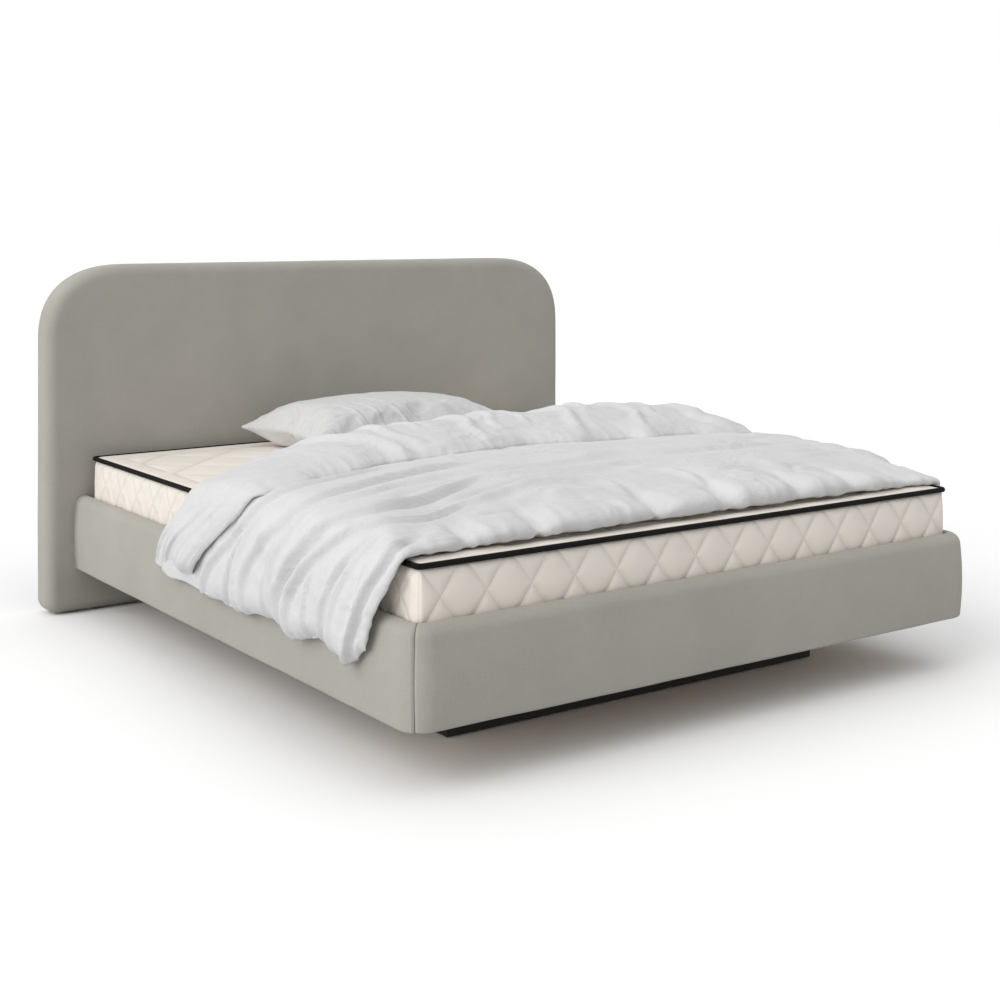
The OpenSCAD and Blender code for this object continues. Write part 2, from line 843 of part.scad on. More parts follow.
// Every half diamond has a station, and the round corner some more
function side_stations(side) =
    let (step = half_diamond(side), far = side_run(side) + border_arc)
    concat([for (j = [0:corner_steps]) border_arc * j / corner_steps],
           [for (s = [step:step:far - 1]) if (s > border_arc + 1) s],
           [for (j = [0:corner_steps - 1]) far + border_arc * j / corner_steps]);

border_stations = [for (side = [0:3]) for (s = side_stations(side)) [side, s]];

function border_loop(z, row) = [for (p = border_stations)
    border_point(p[0], p[1], row < 0 ? -border_t : border_swell(p[0], p[1], row), z)];

module mattress_border() {
    outer = [for (row = [0:3]) border_loop(border_zs[row], row)];
    inner = [border_loop(border_zs[3], -1), border_loop(border_zs[0], -1)];
    loops = concat(outer, inner);
    cols = len(border_stations);
    n = len(loops);
    faces = [for (r = [0:n - 1], c = [0:cols - 1])
        let (a = r * cols + c, b = r * cols + (c + 1) % cols,
             d = (r + 1) % n * cols + c, e = (r + 1) % n * cols + (c + 1) % cols,
             p = border_stations[c])
        each cell(a, b, d, e, (r + floor(p[1] / half_diamond(p[0]) + eps)) % 2 == 0)];
    color(ticking) polyhedron(flat(loops), faces);
}

// Stations across one direction of the top panel: the edge strip, then quarter steps of the quilting
panel_repeats = 7;
panel_cells = 4 * panel_repeats;
function panel_stations(width) = let (step = (width - 2 * panel_margin) / panel_cells)
    concat([0, panel_margin / 2], [for (i = [0:panel_cells]) panel_margin + step * i],
           [width - panel_margin / 2, width]);

// Quilting height at grid node (i, j): the strip swells between its edges, the field between the stitches
function panel_swell(i, j) = let (
        last = panel_cells + 4,
        edge = min(i, j, last - i, last - j),
        u = (i + j) * 45 + 90,
        v = (i - j) * 45 + 90)
    edge == 0 || edge == 2 ? 0 : edge == 1 ? 0.6 * panel_puff : panel_puff * sqrt(abs(sin(u) * sin(v)));

// Corner nodes of the grid are drawn in onto the panel's round corner
function round_in(x, y) = let (
        dx = max(0, abs(x) - (panel_w / 2 - panel_corner_r)),
        dy = max(0, abs(y) - (panel_l / 2 - panel_corner_r)),
        k = dx > 0 && dy > 0 ? 1 - max(dx, dy) / norm([dx, dy]) : 0)
    [x - sign(x) * dx * k, y - sign(y) * dy * k + mattress_mid_y];

module mattress_top_panel() {
    xs = panel_stations(panel_w);
    ys = panel_stations(panel_l);
    top = [for (j = [0:len(ys) - 1]) [for (i = [0:len(xs) - 1])
        concat(round_in(xs[i] - panel_w / 2, ys[j] - panel_l / 2),
               top_panel_z + panel_t + panel_swell(i, j))]];
    rows = len(ys);
    cols = len(xs);
    rim = grid_rim(rows, cols);
    points = flat(top);
    n = len(points);
    base = [for (k = rim) [points[k][0], points[k][1], top_panel_z]];
    skin = [for (r = [0:rows - 2], c = [0:cols - 2]) let (a = r * cols + c)
        each cell(a, a + 1, a + cols, a + cols + 1, (r + c + 1) % 4 != 2)];
    sides = [for (k = [0:len(rim) - 1]) let (m = (k + 1) % len(rim))
        each [[rim[k], rim[m], n + m], [rim[k], n + m, n + k]]];
    under = [for (k = [0:len(rim) - 1]) n + k];
    color(ticking) polyhedron(concat(points, base), concat(skin, sides, [under]));
}

module mattress_bottom_panel() {
    color(ticking) translate([0, mattress_mid_y, mattress_z])
        linear_extrude(panel_t) rounded_rect(panel_w, panel_l, panel_corner_r);
}

// Round tape edge that closes the border to a panel
module piping(z) {
    r = piping_d / 2;
    run_w = mattress_w - 2 * mattress_corner_r;
    run_l = mattress_l - 2 * mattress_corner_r;
    turn_r = mattress_corner_r - r;
    color(near_black) translate([0, mattress_mid_y, z]) {
        for (side = [-1, 1]) {
            translate([side * (mattress_w / 2 - r), run_l / 2, 0]) rotate([90, 0, 0])
                linear_extrude(run_l) circle(r);
            translate([-run_w / 2, side * (mattress_l / 2 - r), 0]) rotate([90, 0, 90])
                linear_extrude(run_w) circle(r);
        }
        for (x = [0, 1], y = [0, 1]) mirror([x, 0, 0]) mirror([0, y, 0])
            translate([run_w / 2, run_l / 2, 0]) rotate_extrude(angle = 90)
                translate([turn_r, 0]) circle(r);
    }
}

module mattress_top_piping() {
    piping(mattress_top_z - piping_d / 2);
}

module mattress_bottom_piping() {
    piping(mattress_z + piping_d / 2);
}

// Pillow

pillow_steps = 22;
pillow_seam_z = 62;
pillow_seam_sag = 16;
pillow_sink = 40;
pillow_side_draw = 0.07;
pillow_end_draw = 0.08;
pillow_top_full = 0.42;
pillow_low_full = 0.5;
pillow_tape = 3;
pillow_y = mattress_head_y - pillow_head_gap - pillow_l / 2;
lie_z = mattress_top_z + seat_clear;

// Plan of the seam with its sides drawn in between full corners; u and v run from -1 to 1
function pillow_plan(u, v) = [pillow_w / 2 * u * (1 - pillow_side_draw * (1 - v * v)),
                              pillow_y + pillow_l / 2 * v * (1 - pillow_end_draw * (1 - u * u))];

function pillow_fill(u, v, full) = pow((1 - u * u) * (1 - v * v), full);

// The seam sags between its corners; the top swells over it and the underside rests flat
function pillow_grid(upper) = [for (j = [0:pillow_steps]) [for (i = [0:pillow_steps])
    let (u = sin(180 * i / pillow_steps - 90), v = sin(180 * j / pillow_steps - 90),
         seam = lie_z + pillow_seam_z - pillow_seam_sag * (1 - u * u * v * v),
         swell = pillow_h - pillow_seam_z + pillow_seam_sag - pillow_tape,
         up = seam + pillow_tape + swell * pillow_fill(u, v, pillow_top_full),
         down = max(lie_z, seam - (pillow_seam_z + pillow_sink) * pillow_fill(u, v, pillow_low_full)))
    concat(pillow_plan(u, v), upper ? up : down)]];

module pillow() {
    color(linen_white) between_grids(pillow_grid(true), pillow_grid(false), function(r, c)
        (r < pillow_steps / 2) == (c < pillow_steps / 2));
}

// Duvet

duvet_foot_y = mattress_foot_y + duvet_foot_gap;
duvet_head_y = pillow_y - pillow_l / 2 - duvet_pillow_gap;
crease_y = duvet_head_y - cuff_w;
shoulder_x = mattress_w / 2 + 3;
hang_x = box_half_w + 5;
hang_z = rail_top_z - 5;
slope_l = norm([hang_x - shoulder_x, lie_z - hang_z]);
hem_l = duvet_drop - (lie_z - hang_z);
duvet_half_l = shoulder_x + slope_l + hem_l;

// Distances from the middle of the duvet, over the mattress edge and down to the hem
hem_edge = 16;
hem_soft = 60;
half_stations = concat(
    [for (k = [1:6]) shoulder_x * 0.87 * k / 6],
    [shoulder_x * 0.95, shoulder_x, shoulder_x + slope_l * 0.25, shoulder_x + slope_l * 0.6,
     shoulder_x + slope_l, duvet_half_l - hem_l * 0.45, duvet_half_l - hem_edge, duvet_half_l]);
duvet_stations = concat([for (k = [len(half_stations) - 1:-1:0]) -half_stations[k]], [0], half_stations);

// Where the underside lies at distance d, and which way is outward there
hem_stand = 8;
function drape_x(d) = lookup(d, [[0, 0], [shoulder_x, shoulder_x], [shoulder_x + slope_l, hang_x],
                                 [duvet_half_l, hang_x + hem_stand]]);
function drape_z(d) = lookup(d, [[shoulder_x, lie_z], [shoulder_x + slope_l, hang_z],
                                 [duvet_half_l, hang_z - hem_l]]);
function drape_turn(d) = lookup(d, [[shoulder_x * 0.9, 90], [shoulder_x * 1.02, 40],
                                    [shoulder_x + slope_l, 8], [duvet_half_l, 0]]);
function hanging(d) = lookup(d, [[shoulder_x, 0], [duvet_half_l, 1]]);

// Rows from the foot edge to the folded head edge, closer together where the loft rises
foot_rise = [0, 10, 34, 80];
crease_rise = [0, 14, 50];
fold_rise = 16;
main_row_y = duvet_foot_y + foot_rise[3];
cuff_row_y = crease_y + crease_rise[2];
duvet_rows = concat(
    [for (step = foot_rise) duvet_foot_y + step],
    [for (k = [1:7]) main_row_y + (crease_y - 30 - main_row_y) * k / 7],
    [for (step = crease_rise) crease_y + step],
    [for (k = [1:4]) cuff_row_y + (duvet_head_y - crease_rise[2] - cuff_row_y) * k / 4],
    [duvet_head_y - fold_rise, duvet_head_y]);

// Loft along the bed: thin foot edge, full middle, pressed in at the crease, then the double cuff
foot_edge_t = 10;
cuff_full = duvet_loft + cuff_loft;
function loft(y) = lookup(y, [
    [duvet_foot_y, foot_edge_t], [duvet_foot_y + foot_rise[1], 0.42 * duvet_loft],
    [duvet_foot_y + foot_rise[2], 0.62 * duvet_loft], [duvet_foot_y + 220, duvet_loft],
    [crease_y - 160, duvet_loft], [crease_y, 0.88 * duvet_loft],
    [crease_y + crease_rise[1], 0.76 * cuff_full], [crease_y + crease_rise[2], 0.95 * cuff_full],
    [crease_y + 0.4 * cuff_w, cuff_full], [duvet_head_y - crease_rise[2], 0.94 * cuff_full],
    [duvet_head_y - fold_rise, 0.72 * cuff_full], [duvet_head_y, 0.3 * cuff_full]]);
function hang_loft(y) = duvet_hang_t * loft(y) / duvet_loft;

// Share of the cuff's loft at its fold: slim over the left mattress edge, plump in the middle
function fold_plump(s) = lookup(s / duvet_half_l, [
    [-1, 0.45], [-0.78, 0.42], [-0.65, 0.62], [-0.52, 0.85], [-0.2, 1], [0.06, 1.12], [0.7, 1],
    [0.8, 0.85], [1, 0.55]]);

function turned(y) = lookup(y, [[crease_y, 0], [duvet_head_y, 1]]);

function duvet_t(s, y) = let (
        d = abs(s),
        w = lookup(d, [[0.5 * shoulder_x, 0], [shoulder_x, 0.6], [shoulder_x + slope_l, 1]]),
        hem = lookup(d, [[duvet_half_l - hem_soft, 1], [duvet_half_l - hem_edge, 0.75],
                         [duvet_half_l, 0.3]]))
    hem * (loft(y) * (1 - w) + hang_loft(y) * w) * (1 + turned(y) * (fold_plump(s) - 1));

// The hanging sides stand out in folds, and the loft on top has slow waves
fold_pitch = 235;
fold_depth = 16;
heap = 7;
function side_fold(d, y) = fold_depth * hanging(d) * (1 - cos(360 * (y - duvet_foot_y) / fold_pitch)) / 2;
function top_wave(x, y) = heap * sin(x * 0.42 + y * 0.25) * sin(y * 0.5 - x * 0.2);

// The hem rises and falls, and it is drawn up where the cuff hangs
hem_pitch = 270;
hem_dip = 12;
hem_rise = 30;
function hem_wave(d, y) = hanging(d) * (hem_dip * sin(360 * (y - duvet_foot_y) / hem_pitch)
    + lookup(y, [[crease_y + 0.6 * cuff_w, 0], [duvet_head_y, hem_rise]]));

// The cuff's loose edge runs askew and swings to the head where it hangs; its fold is drawn in on the left
slant_reach = 400;
function edge_slant(s) = cuff_w * lookup(s / duvet_half_l, [
    [-1, 0.61], [-0.91, 0.36], [-0.85, 0.16], [-0.78, -0.05], [-0.68, -0.08], [-0.55, 0.04], [-0.42, 0.13],
    [-0.2, 0.13], [0.04, 0.25], [0.17, 0.14], [0.35, 0.17], [0.42, 0.08], [0.6, 0.2], [0.8, 0.16], [1, 0.6]]);
function fold_slant(s) = cuff_w * lookup(s / duvet_half_l, [
    [-1, 0.22], [-0.93, 0.15], [-0.88, 0.05], [-0.83, -0.08], [-0.72, -0.12], [-0.5, -0.03], [0, 0],
    [0.8, 0.04], [1, 0.13]]);

// The hanging sides also slant back from the foot edge
foot_back = 75;
function lie_y(s, y) =
    y + (y > crease_y ? edge_slant(s) * (1 - turned(y)) + fold_slant(s) * turned(y)
                      : edge_slant(s) * lookup(y, [[crease_y - slant_reach, 0], [crease_y, 1]]))
    + foot_back * hanging(abs(s)) * lookup(y, [[duvet_foot_y, 1], [duvet_foot_y + slant_reach, 0]]);

function duvet_point(s, y, upper) = let (
        side = s < 0 ? -1 : 1,
        d = abs(s),
        turn = drape_turn(d),
        inside = min(y - duvet_foot_y, duvet_head_y - y) > foot_rise[1] + fold_rise ? 1 : 0,
        t = upper ? duvet_t(s, y) + inside * (1 - hanging(d)) * top_wave(s, y) : 0)
    [side * (drape_x(d) + side_fold(d, y) + t * cos(turn)), lie_y(s, y),
     drape_z(d) + hem_wave(d, y) + t * sin(turn)];

function duvet_grid(upper) = [for (y = duvet_rows) [for (s = duvet_stations) duvet_point(s, y, upper)]];

module duvet() {
    color(linen_white) between_grids(duvet_grid(true), duvet_grid(false), function(r, c) (r + c) % 2 == 0);
}

headboard_left_stile();
headboard_right_stile();
headboard_top_rail();
headboard_corner_blocks();
headboard_bolt_rail();
headboard_bottom_rail();
headboard_panel();
headboard_foam();
headboard_cover();
headboard_back_cloth();
left_rail_board();
right_rail_board();
foot_rail_board();
foot_corner_posts();
left_rail_foam();
right_rail_foam();
foot_rail_foam();
left_rail_cover();
right_rail_cover();
foot_rail_cover();
left_slat_ledge();
right_slat_ledge();
centre_beam();
slat_tapes();
front_bearer();
middle_bearer();
rear_bearer();
bearer_brackets();
head_brackets();
corner_plates();
bed_bolts();
plinth_front_board();
plinth_back_board();
plinth_left_board();
plinth_right_board();
plinth_centre_board();
plinth_corner_blocks();
floor_glides();
for (i = [1:slat_count]) slat(i);
mattress_spring_core();
mattress_top_foam();
mattress_bottom_foam();
mattress_border();
mattress_top_panel();
mattress_bottom_panel();
mattress_top_piping();
mattress_bottom_piping();
pillow();
duvet();
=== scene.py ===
"""An upholstered double bed: padded headboard and rails over a set-back plinth, a quilted mattress with
black piping, a pillow, and a duvet with its head end folded back."""

import logging
import math
from dataclasses import dataclass, field
from enum import Enum
from typing import Any, ClassVar, Dict, Iterable, List, Optional, Sequence, Tuple, Union

import bmesh
import bpy
import numpy as np
from mathutils import Matrix, Vector, noise


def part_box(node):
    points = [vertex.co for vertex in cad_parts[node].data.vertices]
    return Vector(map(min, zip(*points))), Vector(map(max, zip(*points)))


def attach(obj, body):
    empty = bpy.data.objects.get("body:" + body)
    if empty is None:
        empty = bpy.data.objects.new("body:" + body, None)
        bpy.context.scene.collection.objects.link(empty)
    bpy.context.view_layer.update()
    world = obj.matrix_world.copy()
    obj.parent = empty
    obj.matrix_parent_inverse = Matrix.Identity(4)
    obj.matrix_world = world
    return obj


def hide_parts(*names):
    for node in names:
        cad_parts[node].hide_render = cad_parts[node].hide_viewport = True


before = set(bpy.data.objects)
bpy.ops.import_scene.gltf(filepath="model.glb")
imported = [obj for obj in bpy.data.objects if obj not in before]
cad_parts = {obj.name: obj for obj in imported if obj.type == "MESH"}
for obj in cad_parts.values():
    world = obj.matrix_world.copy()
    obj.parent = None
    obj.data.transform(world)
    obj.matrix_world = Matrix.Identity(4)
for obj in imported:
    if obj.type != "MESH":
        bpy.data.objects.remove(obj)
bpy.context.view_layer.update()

logging.basicConfig(level=logging.INFO, format="%(levelname)s %(message)s")
log = logging.getLogger("bed")

Colour = Tuple[float, float, float]
Point = Tuple[float, float]
Point3 = Tuple[float, float, float]
Term = Union["Flow", float]
Array = np.ndarray
Mesh = bmesh.types.BMesh
Material = bpy.types.Material


def shade(red: float, green: float, blue: float) -> Colour:
    """A colour as a screen shows it, as the light values that a shader wants.

    Args:
        red: its red part, from 0 to 255.
        green: its green part.
        blue: its blue part.

    Returns:
        The three light values, from 0 to 1.
    """
    parts = (red / 255, green / 255, blue / 255)
    return tuple(part / 12.92 if part <= 0.04045 else ((part + 0.055) / 1.055) ** 2.4 for part in parts)


def tone(colour: Colour, factor: float) -> Colour:
    """The same colour, lighter or darker by a factor."""
    return tuple(min(1.0, part * factor) for part in colour)


# Shader building


class Flow:
    """What leaves one socket of a node, ready for maths written as Python."""

    def __init__(self, paint: "Paint", socket: bpy.types.NodeSocket) -> None:
        """Keeps the material being built and the socket."""
        self.paint = paint
        self.socket = socket

    def out(self, name: Union[str, int]) -> "Flow":
        """Another output of the same node."""
        return Flow(self.paint, self.socket.node.outputs[name])

    def maths(self, operation: str, *terms: Term) -> "Flow":
        """One Math node over the given terms."""
        return self.paint.node("ShaderNodeMath", {"operation": operation}, dict(enumerate(terms)))

    def __add__(self, other: Term) -> "Flow":
        """Sum."""
        return self.maths("ADD", self, other)

    __radd__ = __add__

    def __sub__(self, other: Term) -> "Flow":
        """Difference."""
        return self.maths("SUBTRACT", self, other)

    def __rsub__(self, other: Term) -> "Flow":
        """Difference, the other way round."""
        return self.maths("SUBTRACT", other, self)

    def __mul__(self, other: Term) -> "Flow":
        """Product."""
        return self.maths("MULTIPLY", self, other)

    __rmul__ = __mul__

    def __truediv__(self, other: Term) -> "Flow":
        """Quotient."""
        return self.maths("DIVIDE", self, other)

    def __rtruediv__(self, other: Term) -> "Flow":
        """Quotient, the other way round."""
        return self.maths("DIVIDE", other, self)

    def __pow__(self, power: Term) -> "Flow":
        """Power."""
        return self.maths("POWER", self, power)

    def least(self, other: Term) -> "Flow":
        """The smaller of two values."""
        return self.maths("MINIMUM", self, other)

    def most(self, other: Term) -> "Flow":
        """The larger of two values."""
        return self.maths("MAXIMUM", self, other)

    def away(self) -> "Flow":
        """Distance from zero."""
        return self.maths("ABSOLUTE", self)

    def bounce(self, height: Term) -> "Flow":
        """The value folded to and fro between zero and a height."""
        return self.maths("PINGPONG", self, height)

    def wave(self) -> "Flow":
        """Sine of the value."""
        return self.maths("SINE", self)

    def stripes(self, width: float) -> "Flow":
        """Ridges of a width, from 0 to 1 and back."""
        return (self * (math.pi / width)).wave().away()

    def above(self, other: Term) -> "Flow":
        """1 where the value is larger, 0 elsewhere."""
        return self.maths("GREATER_THAN", self, other)

    def below(self, other: Term) -> "Flow":
        """1 where the value is smaller, 0 elsewhere."""
        return self.maths("LESS_THAN", self, other)

    def off_whole(self) -> "Flow":
        """Distance from the nearest whole number."""
        return 0.5 - (self + 0.5).bounce(0.5)

    def step(self, low: float, high: float, start: float = 0.0, end: float = 1.0) -> "Flow":
        """A smooth step.

        Args:
            low: the value where it starts.
            high: the value where it ends.
            start: what it gives up to there.
            end: what it gives from there on.

        Returns:
            The stepped value.
        """
        return self.paint.node("ShaderNodeMapRange", {"interpolation_type": "SMOOTHSTEP"},
                               {"Value": self, "From Min": low, "From Max": high,
                                "To Min": start, "To Max": end})


class Paint:
    """The nodes of a material or of the world, being built."""

    def __init__(self, owner: Union[Material, bpy.types.World]) -> None:
        """Keeps the owner and empties its nodes.

        Args:
            owner: the material or the world.
        """
        owner.use_nodes = True
        self.owner = owner
        self.tree = owner.node_tree
        self.tree.nodes.clear()

    def feed(self, socket: bpy.types.NodeSocket, value: Any) -> None:
        """Links a flow to a socket, or sets a plain value on it.

        Args:
            socket: the input.
            value: a flow, a number, or a colour of three numbers.
        """
        if isinstance(value, Flow):
            self.tree.links.new(value.socket, socket)
        elif socket.type == "RGBA" and len(value) == 3:
            socket.default_value = (*value, 1.0)
        else:
            socket.default_value = value

    def node(self, kind: str, settings: Optional[Dict[str, Any]] = None,
             inputs: Optional[Dict[Union[str, int], Any]] = None) -> Flow:
        """Adds any node.

        Args:
            kind: Blender's name of the node's type.
            settings: its own settings, set first.
            inputs: values or flows of its sockets, by name or number.

        Returns:
            The flow of its first output; an output node has none.
        """
        made = self.tree.nodes.new(kind)
        for key, value in (settings or {}).items():
            setattr(made, key, value)
        for key, value in (inputs or {}).items():
            self.feed(made.inputs[key], value)
        return Flow(self, made.outputs[0]) if made.outputs else None

    def place(self) -> Flow:
        """Object coordinates, which are metres in the shared frame."""
        return self.node("ShaderNodeTexCoord").out("Object")

    def cloth(self) -> Flow:
        """The piece's own map, in metres along its cloth."""
        return self.node("ShaderNodeTexCoord").out("UV")

    def parts(self, vector: Flow) -> Tuple[Flow, Flow, Flow]:
        """The three numbers of a vector."""
        split = self.node("ShaderNodeSeparateXYZ", {}, {0: vector})
        return split, split.out(1), split.out(2)

    def stretched(self, vector: Flow, scale: Point3) -> Flow:
        """A vector with each of its numbers multiplied."""
        return self.node("ShaderNodeVectorMath", {"operation": "MULTIPLY"}, {0: vector, 1: scale})

    def clouds(self, vector: Flow, scale: float, detail: float = 3.0, roughness: float = 0.55,
               distortion: float = 0.0) -> Flow:
        """Soft noise around one half."""
        return self.node("ShaderNodeTexNoise", {}, {"Vector": vector, "Scale": scale, "Detail": detail,
                                                   "Roughness": roughness, "Distortion": distortion})

    def blend(self, factor: Term, low: Any, high: Any) -> Flow:
        """One colour turning into another."""
        return self.node("ShaderNodeMix", {"data_type": "RGBA"}, {0: factor, 6: low, 7: high}).out(2)

    def relief(self, height: Flow, distance: float, strength: float = 1.0,
               under: Optional[Flow] = None) -> Flow:
        """A bump.

        Args:
            height: its height, as a share of the distance.
            distance: in metres.
            strength: how much of it shows.
            under: a bump that it is laid on.

        Returns:
            The normal.
        """
        inputs: Dict[Union[str, int], Any] = {"Height": height, "Distance": distance, "Strength": strength}
        if under is not None:
            inputs["Normal"] = under
        return self.node("ShaderNodeBump", {}, inputs)

    def finish(self, colour: Any, roughness: Any, normal: Optional[Flow] = None,
               **constants: Any) -> None:
        """Ends the material with a surface shader.

        Args:
            colour: base colour, plain or a flow.
            roughness: plain or a flow.
            normal: the last bump.
            **constants: other sockets by name, with underscores for spaces.
        """
        inputs: Dict[Union[str, int], Any] = {"Base Color": colour, "Roughness": roughness}
        if normal is not None:
            inputs["Normal"] = normal
        for key, value in constants.items():
            inputs[key.replace("_", " ")] = value
        surface = self.node("ShaderNodeBsdfPrincipled", {}, inputs)
        self.node("ShaderNodeOutputMaterial", {}, {"Surface": surface})


# Finishes


class Grain(Enum):
    """The way the long fibres of a timber piece run."""

    ACROSS = (0, 1, 2)
    ALONG = (1, 0, 2)
    UPRIGHT = (2, 0, 1)


@dataclass(frozen=True)
class Finish:
    """A surface finish; each kind paints its own material, once."""

    name: str
    slot: str
    made: ClassVar[Dict[str, Material]] = {}

    def material(self) -> Material:
        """Paints the material the first time it is asked for.

        Returns:
            The material.
        """
        if self.name not in self.made:
            self.made[self.name] = bpy.data.materials.new(self.name)
            self.paint(Paint(self.made[self.name]))
        return self.made[self.name]

    def paint(self, paint: Paint) -> None:
        """Builds the material's nodes."""
        raise NotImplementedError


@dataclass(frozen=True)
class Upholstery(Finish):
    """A soft plain-woven cover fabric with a short nap."""

    colour: Colour = shade(175, 172, 164)
    thread: float = 0.0014
    weave_depth: float = 0.00022

    def paint(self, paint: Paint) -> None:
        """Plain weave with slubs, brushed patches, a soft sheen and painted shade along the rails' sunk
        corner seams.

        Args:
            paint: the nodes.
        """
        cloth = paint.cloth()
        u, v, _ = paint.parts(cloth)
        wander = paint.clouds(cloth, 90, 2) * 0.5
        warp = (u / self.thread + wander) * math.pi
        weft = (v / self.thread + wander) * math.pi
        weave = (warp.wave().away() * 0.55 + weft.wave().away() * 0.45
                 + (warp * 0.5).wave() * (weft * 0.5).wave() * 0.5)
        slubs = (paint.clouds(paint.stretched(cloth, (22, 520, 1)), 1, 2)
                 + paint.clouds(paint.stretched(cloth, (520, 22, 1)), 1, 2)) * 0.5
        patches = paint.clouds(paint.place(), 5, 4, 0.6)
        specks = paint.clouds(cloth, 420, 2)
        value = patches * 0.25 + slubs * 0.3 + specks * 0.45
        seam = paint.node("ShaderNodeAttribute", {"attribute_name": "seam"}).out("Fac")
        plain = paint.blend(value.step(0.32, 0.68), tone(self.colour, 0.86), tone(self.colour, 1.10))
        # Painted shade: the fabric is darkened along the sunk corner seam, where shade falls in the groove.
        colour = paint.blend(seam.step(0.2, 0.9) * 0.7, plain, tone(self.colour, 0.25))
        wear = paint.relief(patches, 0.0016, 0.5)
        normal = paint.relief(weave * 0.7 + slubs * 0.6, self.weave_depth, 1.0, wear)
        paint.finish(colour, patches.step(0.2, 0.8, 0.84, 0.96), normal, Specular_IOR_Level=0.22,
                     Sheen_Weight=0.35, Sheen_Roughness=0.45, Sheen_Tint=(*tone(self.colour, 1.4), 1))


@dataclass(frozen=True)
class Linen(Finish):
    """Smooth white bed linen with the small creases of washed cotton."""

    colour: Colour = shade(220, 220, 221)

    def paint(self, paint: Paint) -> None:
        """Fine percale threads, soft creases, and painted shade that darkens the hollows of the creases.

        Args:
            paint: the nodes.
        """
        cloth = paint.cloth()
        place = paint.place()
        u, v, _ = paint.parts(cloth)
        threads = (u.stripes(0.0009) + v.stripes(0.0009)) * 0.5
        bend = paint.clouds(place, 3.2, 2)
        creases = paint.clouds(paint.stretched(place, (7, 16, 12)), 1.0, 5, 0.52, 0.6)
        ridged = 1 - ((creases - 0.5) * 5).away().least(1.0)
        crumple = paint.clouds(place, 46, 3, 0.5, 0.8)
        # Painted shade: the colour darkens where the crease and crumple bumps sink.
        painted_fold_shade = (bend * 0.5 + crumple * 0.5).step(0.3, 0.7)
        colour = paint.blend(painted_fold_shade, tone(self.colour, 0.955), self.colour)
        soft = paint.relief(ridged * bend.step(0.3, 0.7), 0.0042, 0.75)
        fine = paint.relief(crumple, 0.0016, 0.55, soft)
        normal = paint.relief(threads, 0.00008, 0.6, fine)
        paint.finish(colour, crumple.step(0.3, 0.7, 0.74, 0.86), normal, Specular_IOR_Level=0.3,
                     Sheen_Weight=0.25, Sheen_Roughness=0.4)


@dataclass(frozen=True)
class Ticking(Finish):
    """Ivory knitted mattress fabric, quilted along crossing lines of thread.

    On a panel, quilted holds the half width, half length and middle of the field inside its edge line.
    """

    colour: Colour = shade(246, 238, 228)
    pitch: Point = (0.12857, 0.175)
    start: Point = (-0.0643, 0.431)
    quilted: Optional[Point3] = None
    gap: float = 0.040

    def stitch(self, paint: Paint, u: Flow, v: Flow) -> Flow:
        """Distance from the nearest line of stitches, in metres.

        Args:
            paint: the material being built; not used.
            u: place along the cloth.
            v: place across the cloth.

        Returns:
            The distance.
        """
        wide, tall = self.pitch
        first = (u - self.start[0]) / wide
        second = (v - self.start[1]) / tall
        slope = wide * tall / math.hypot(wide, tall)
        lines = (first + second).off_whole().least((first - second).off_whole()) * slope
        if self.quilted is None:
            return lines
        half_x, half_y, middle_y = self.quilted
        across = u.away()
        inside = (half_x - across).least(half_y - (v - middle_y).away())
        broken = across.above(half_x - 0.004) * (second.off_whole() * tall).below(self.gap / 2)
        return (lines + inside.below(0.0)).least(inside.away() + broken)

    def paint(self, paint: Paint) -> None:
        """Small knitted cells, puckered beside the sunken threads, with painted shade along the stitch lines.

        Args:
            paint: the nodes.
        """
        cloth = paint.cloth()
        u, v, _ = paint.parts(cloth)
        place = paint.place()
        seam = self.stitch(paint, u, v)
        cells = u.stripes(0.0022) * v.stripes(0.0022)
        patches = paint.clouds(place, 9, 3)
        puckers = paint.clouds(place, 60, 3, 0.6, 0.5)
        thread = seam.step(0.0004, 0.0022, 1.0, 0.0)
        near = seam.step(0.0, 0.013, 1.0, 0.0)
        base = paint.blend(patches.step(0.3, 0.7), tone(self.colour, 0.96), self.colour)
        # Painted shade: the stitch lines and the sunken strip beside them are darkened, as shade in the
        # quilted hollows.
        colour = paint.blend(near * 0.16 + thread * 0.08, base, tone(self.colour, 0.74))
        soft = paint.relief(puckers * (0.3 + near * 0.7), 0.0012, 0.5)
        normal = paint.relief(cells * 0.13 - thread * 0.35 - near, 0.0024, 0.9, soft)
        paint.finish(colour, patches.step(0.2, 0.8, 0.72, 0.86), normal, Specular_IOR_Level=0.25,
                     Sheen_Weight=0.2, Sheen_Roughness=0.5)


@dataclass(frozen=True)
class Tape(Finish):
    """Narrow woven tape."""

    colour: Colour = shade(13, 12, 11)
    rib: float = 0.0024

    def paint(self, paint: Paint) -> None:
        """Cross ribs with a dull woven face.

        Args:
            paint: the nodes.
        """
        cloth = paint.cloth()
        u, v, _ = paint.parts(cloth)
        ribs = u.stripes(self.rib)
        cross = v.stripes(self.rib * 0.7)
        lint = paint.clouds(cloth, 160, 3)
        colour = paint.blend((ribs * 0.6 + lint * 0.4).step(0.2, 0.8), tone(self.colour, 0.7),
                             tone(self.colour, 1.4))
        normal = paint.relief(ribs * 0.7 + cross * 0.3, 0.0004, 0.8)
        paint.finish(colour, lint.step(0.2, 0.8, 0.6, 0.85), normal, Specular_IOR_Level=0.12)


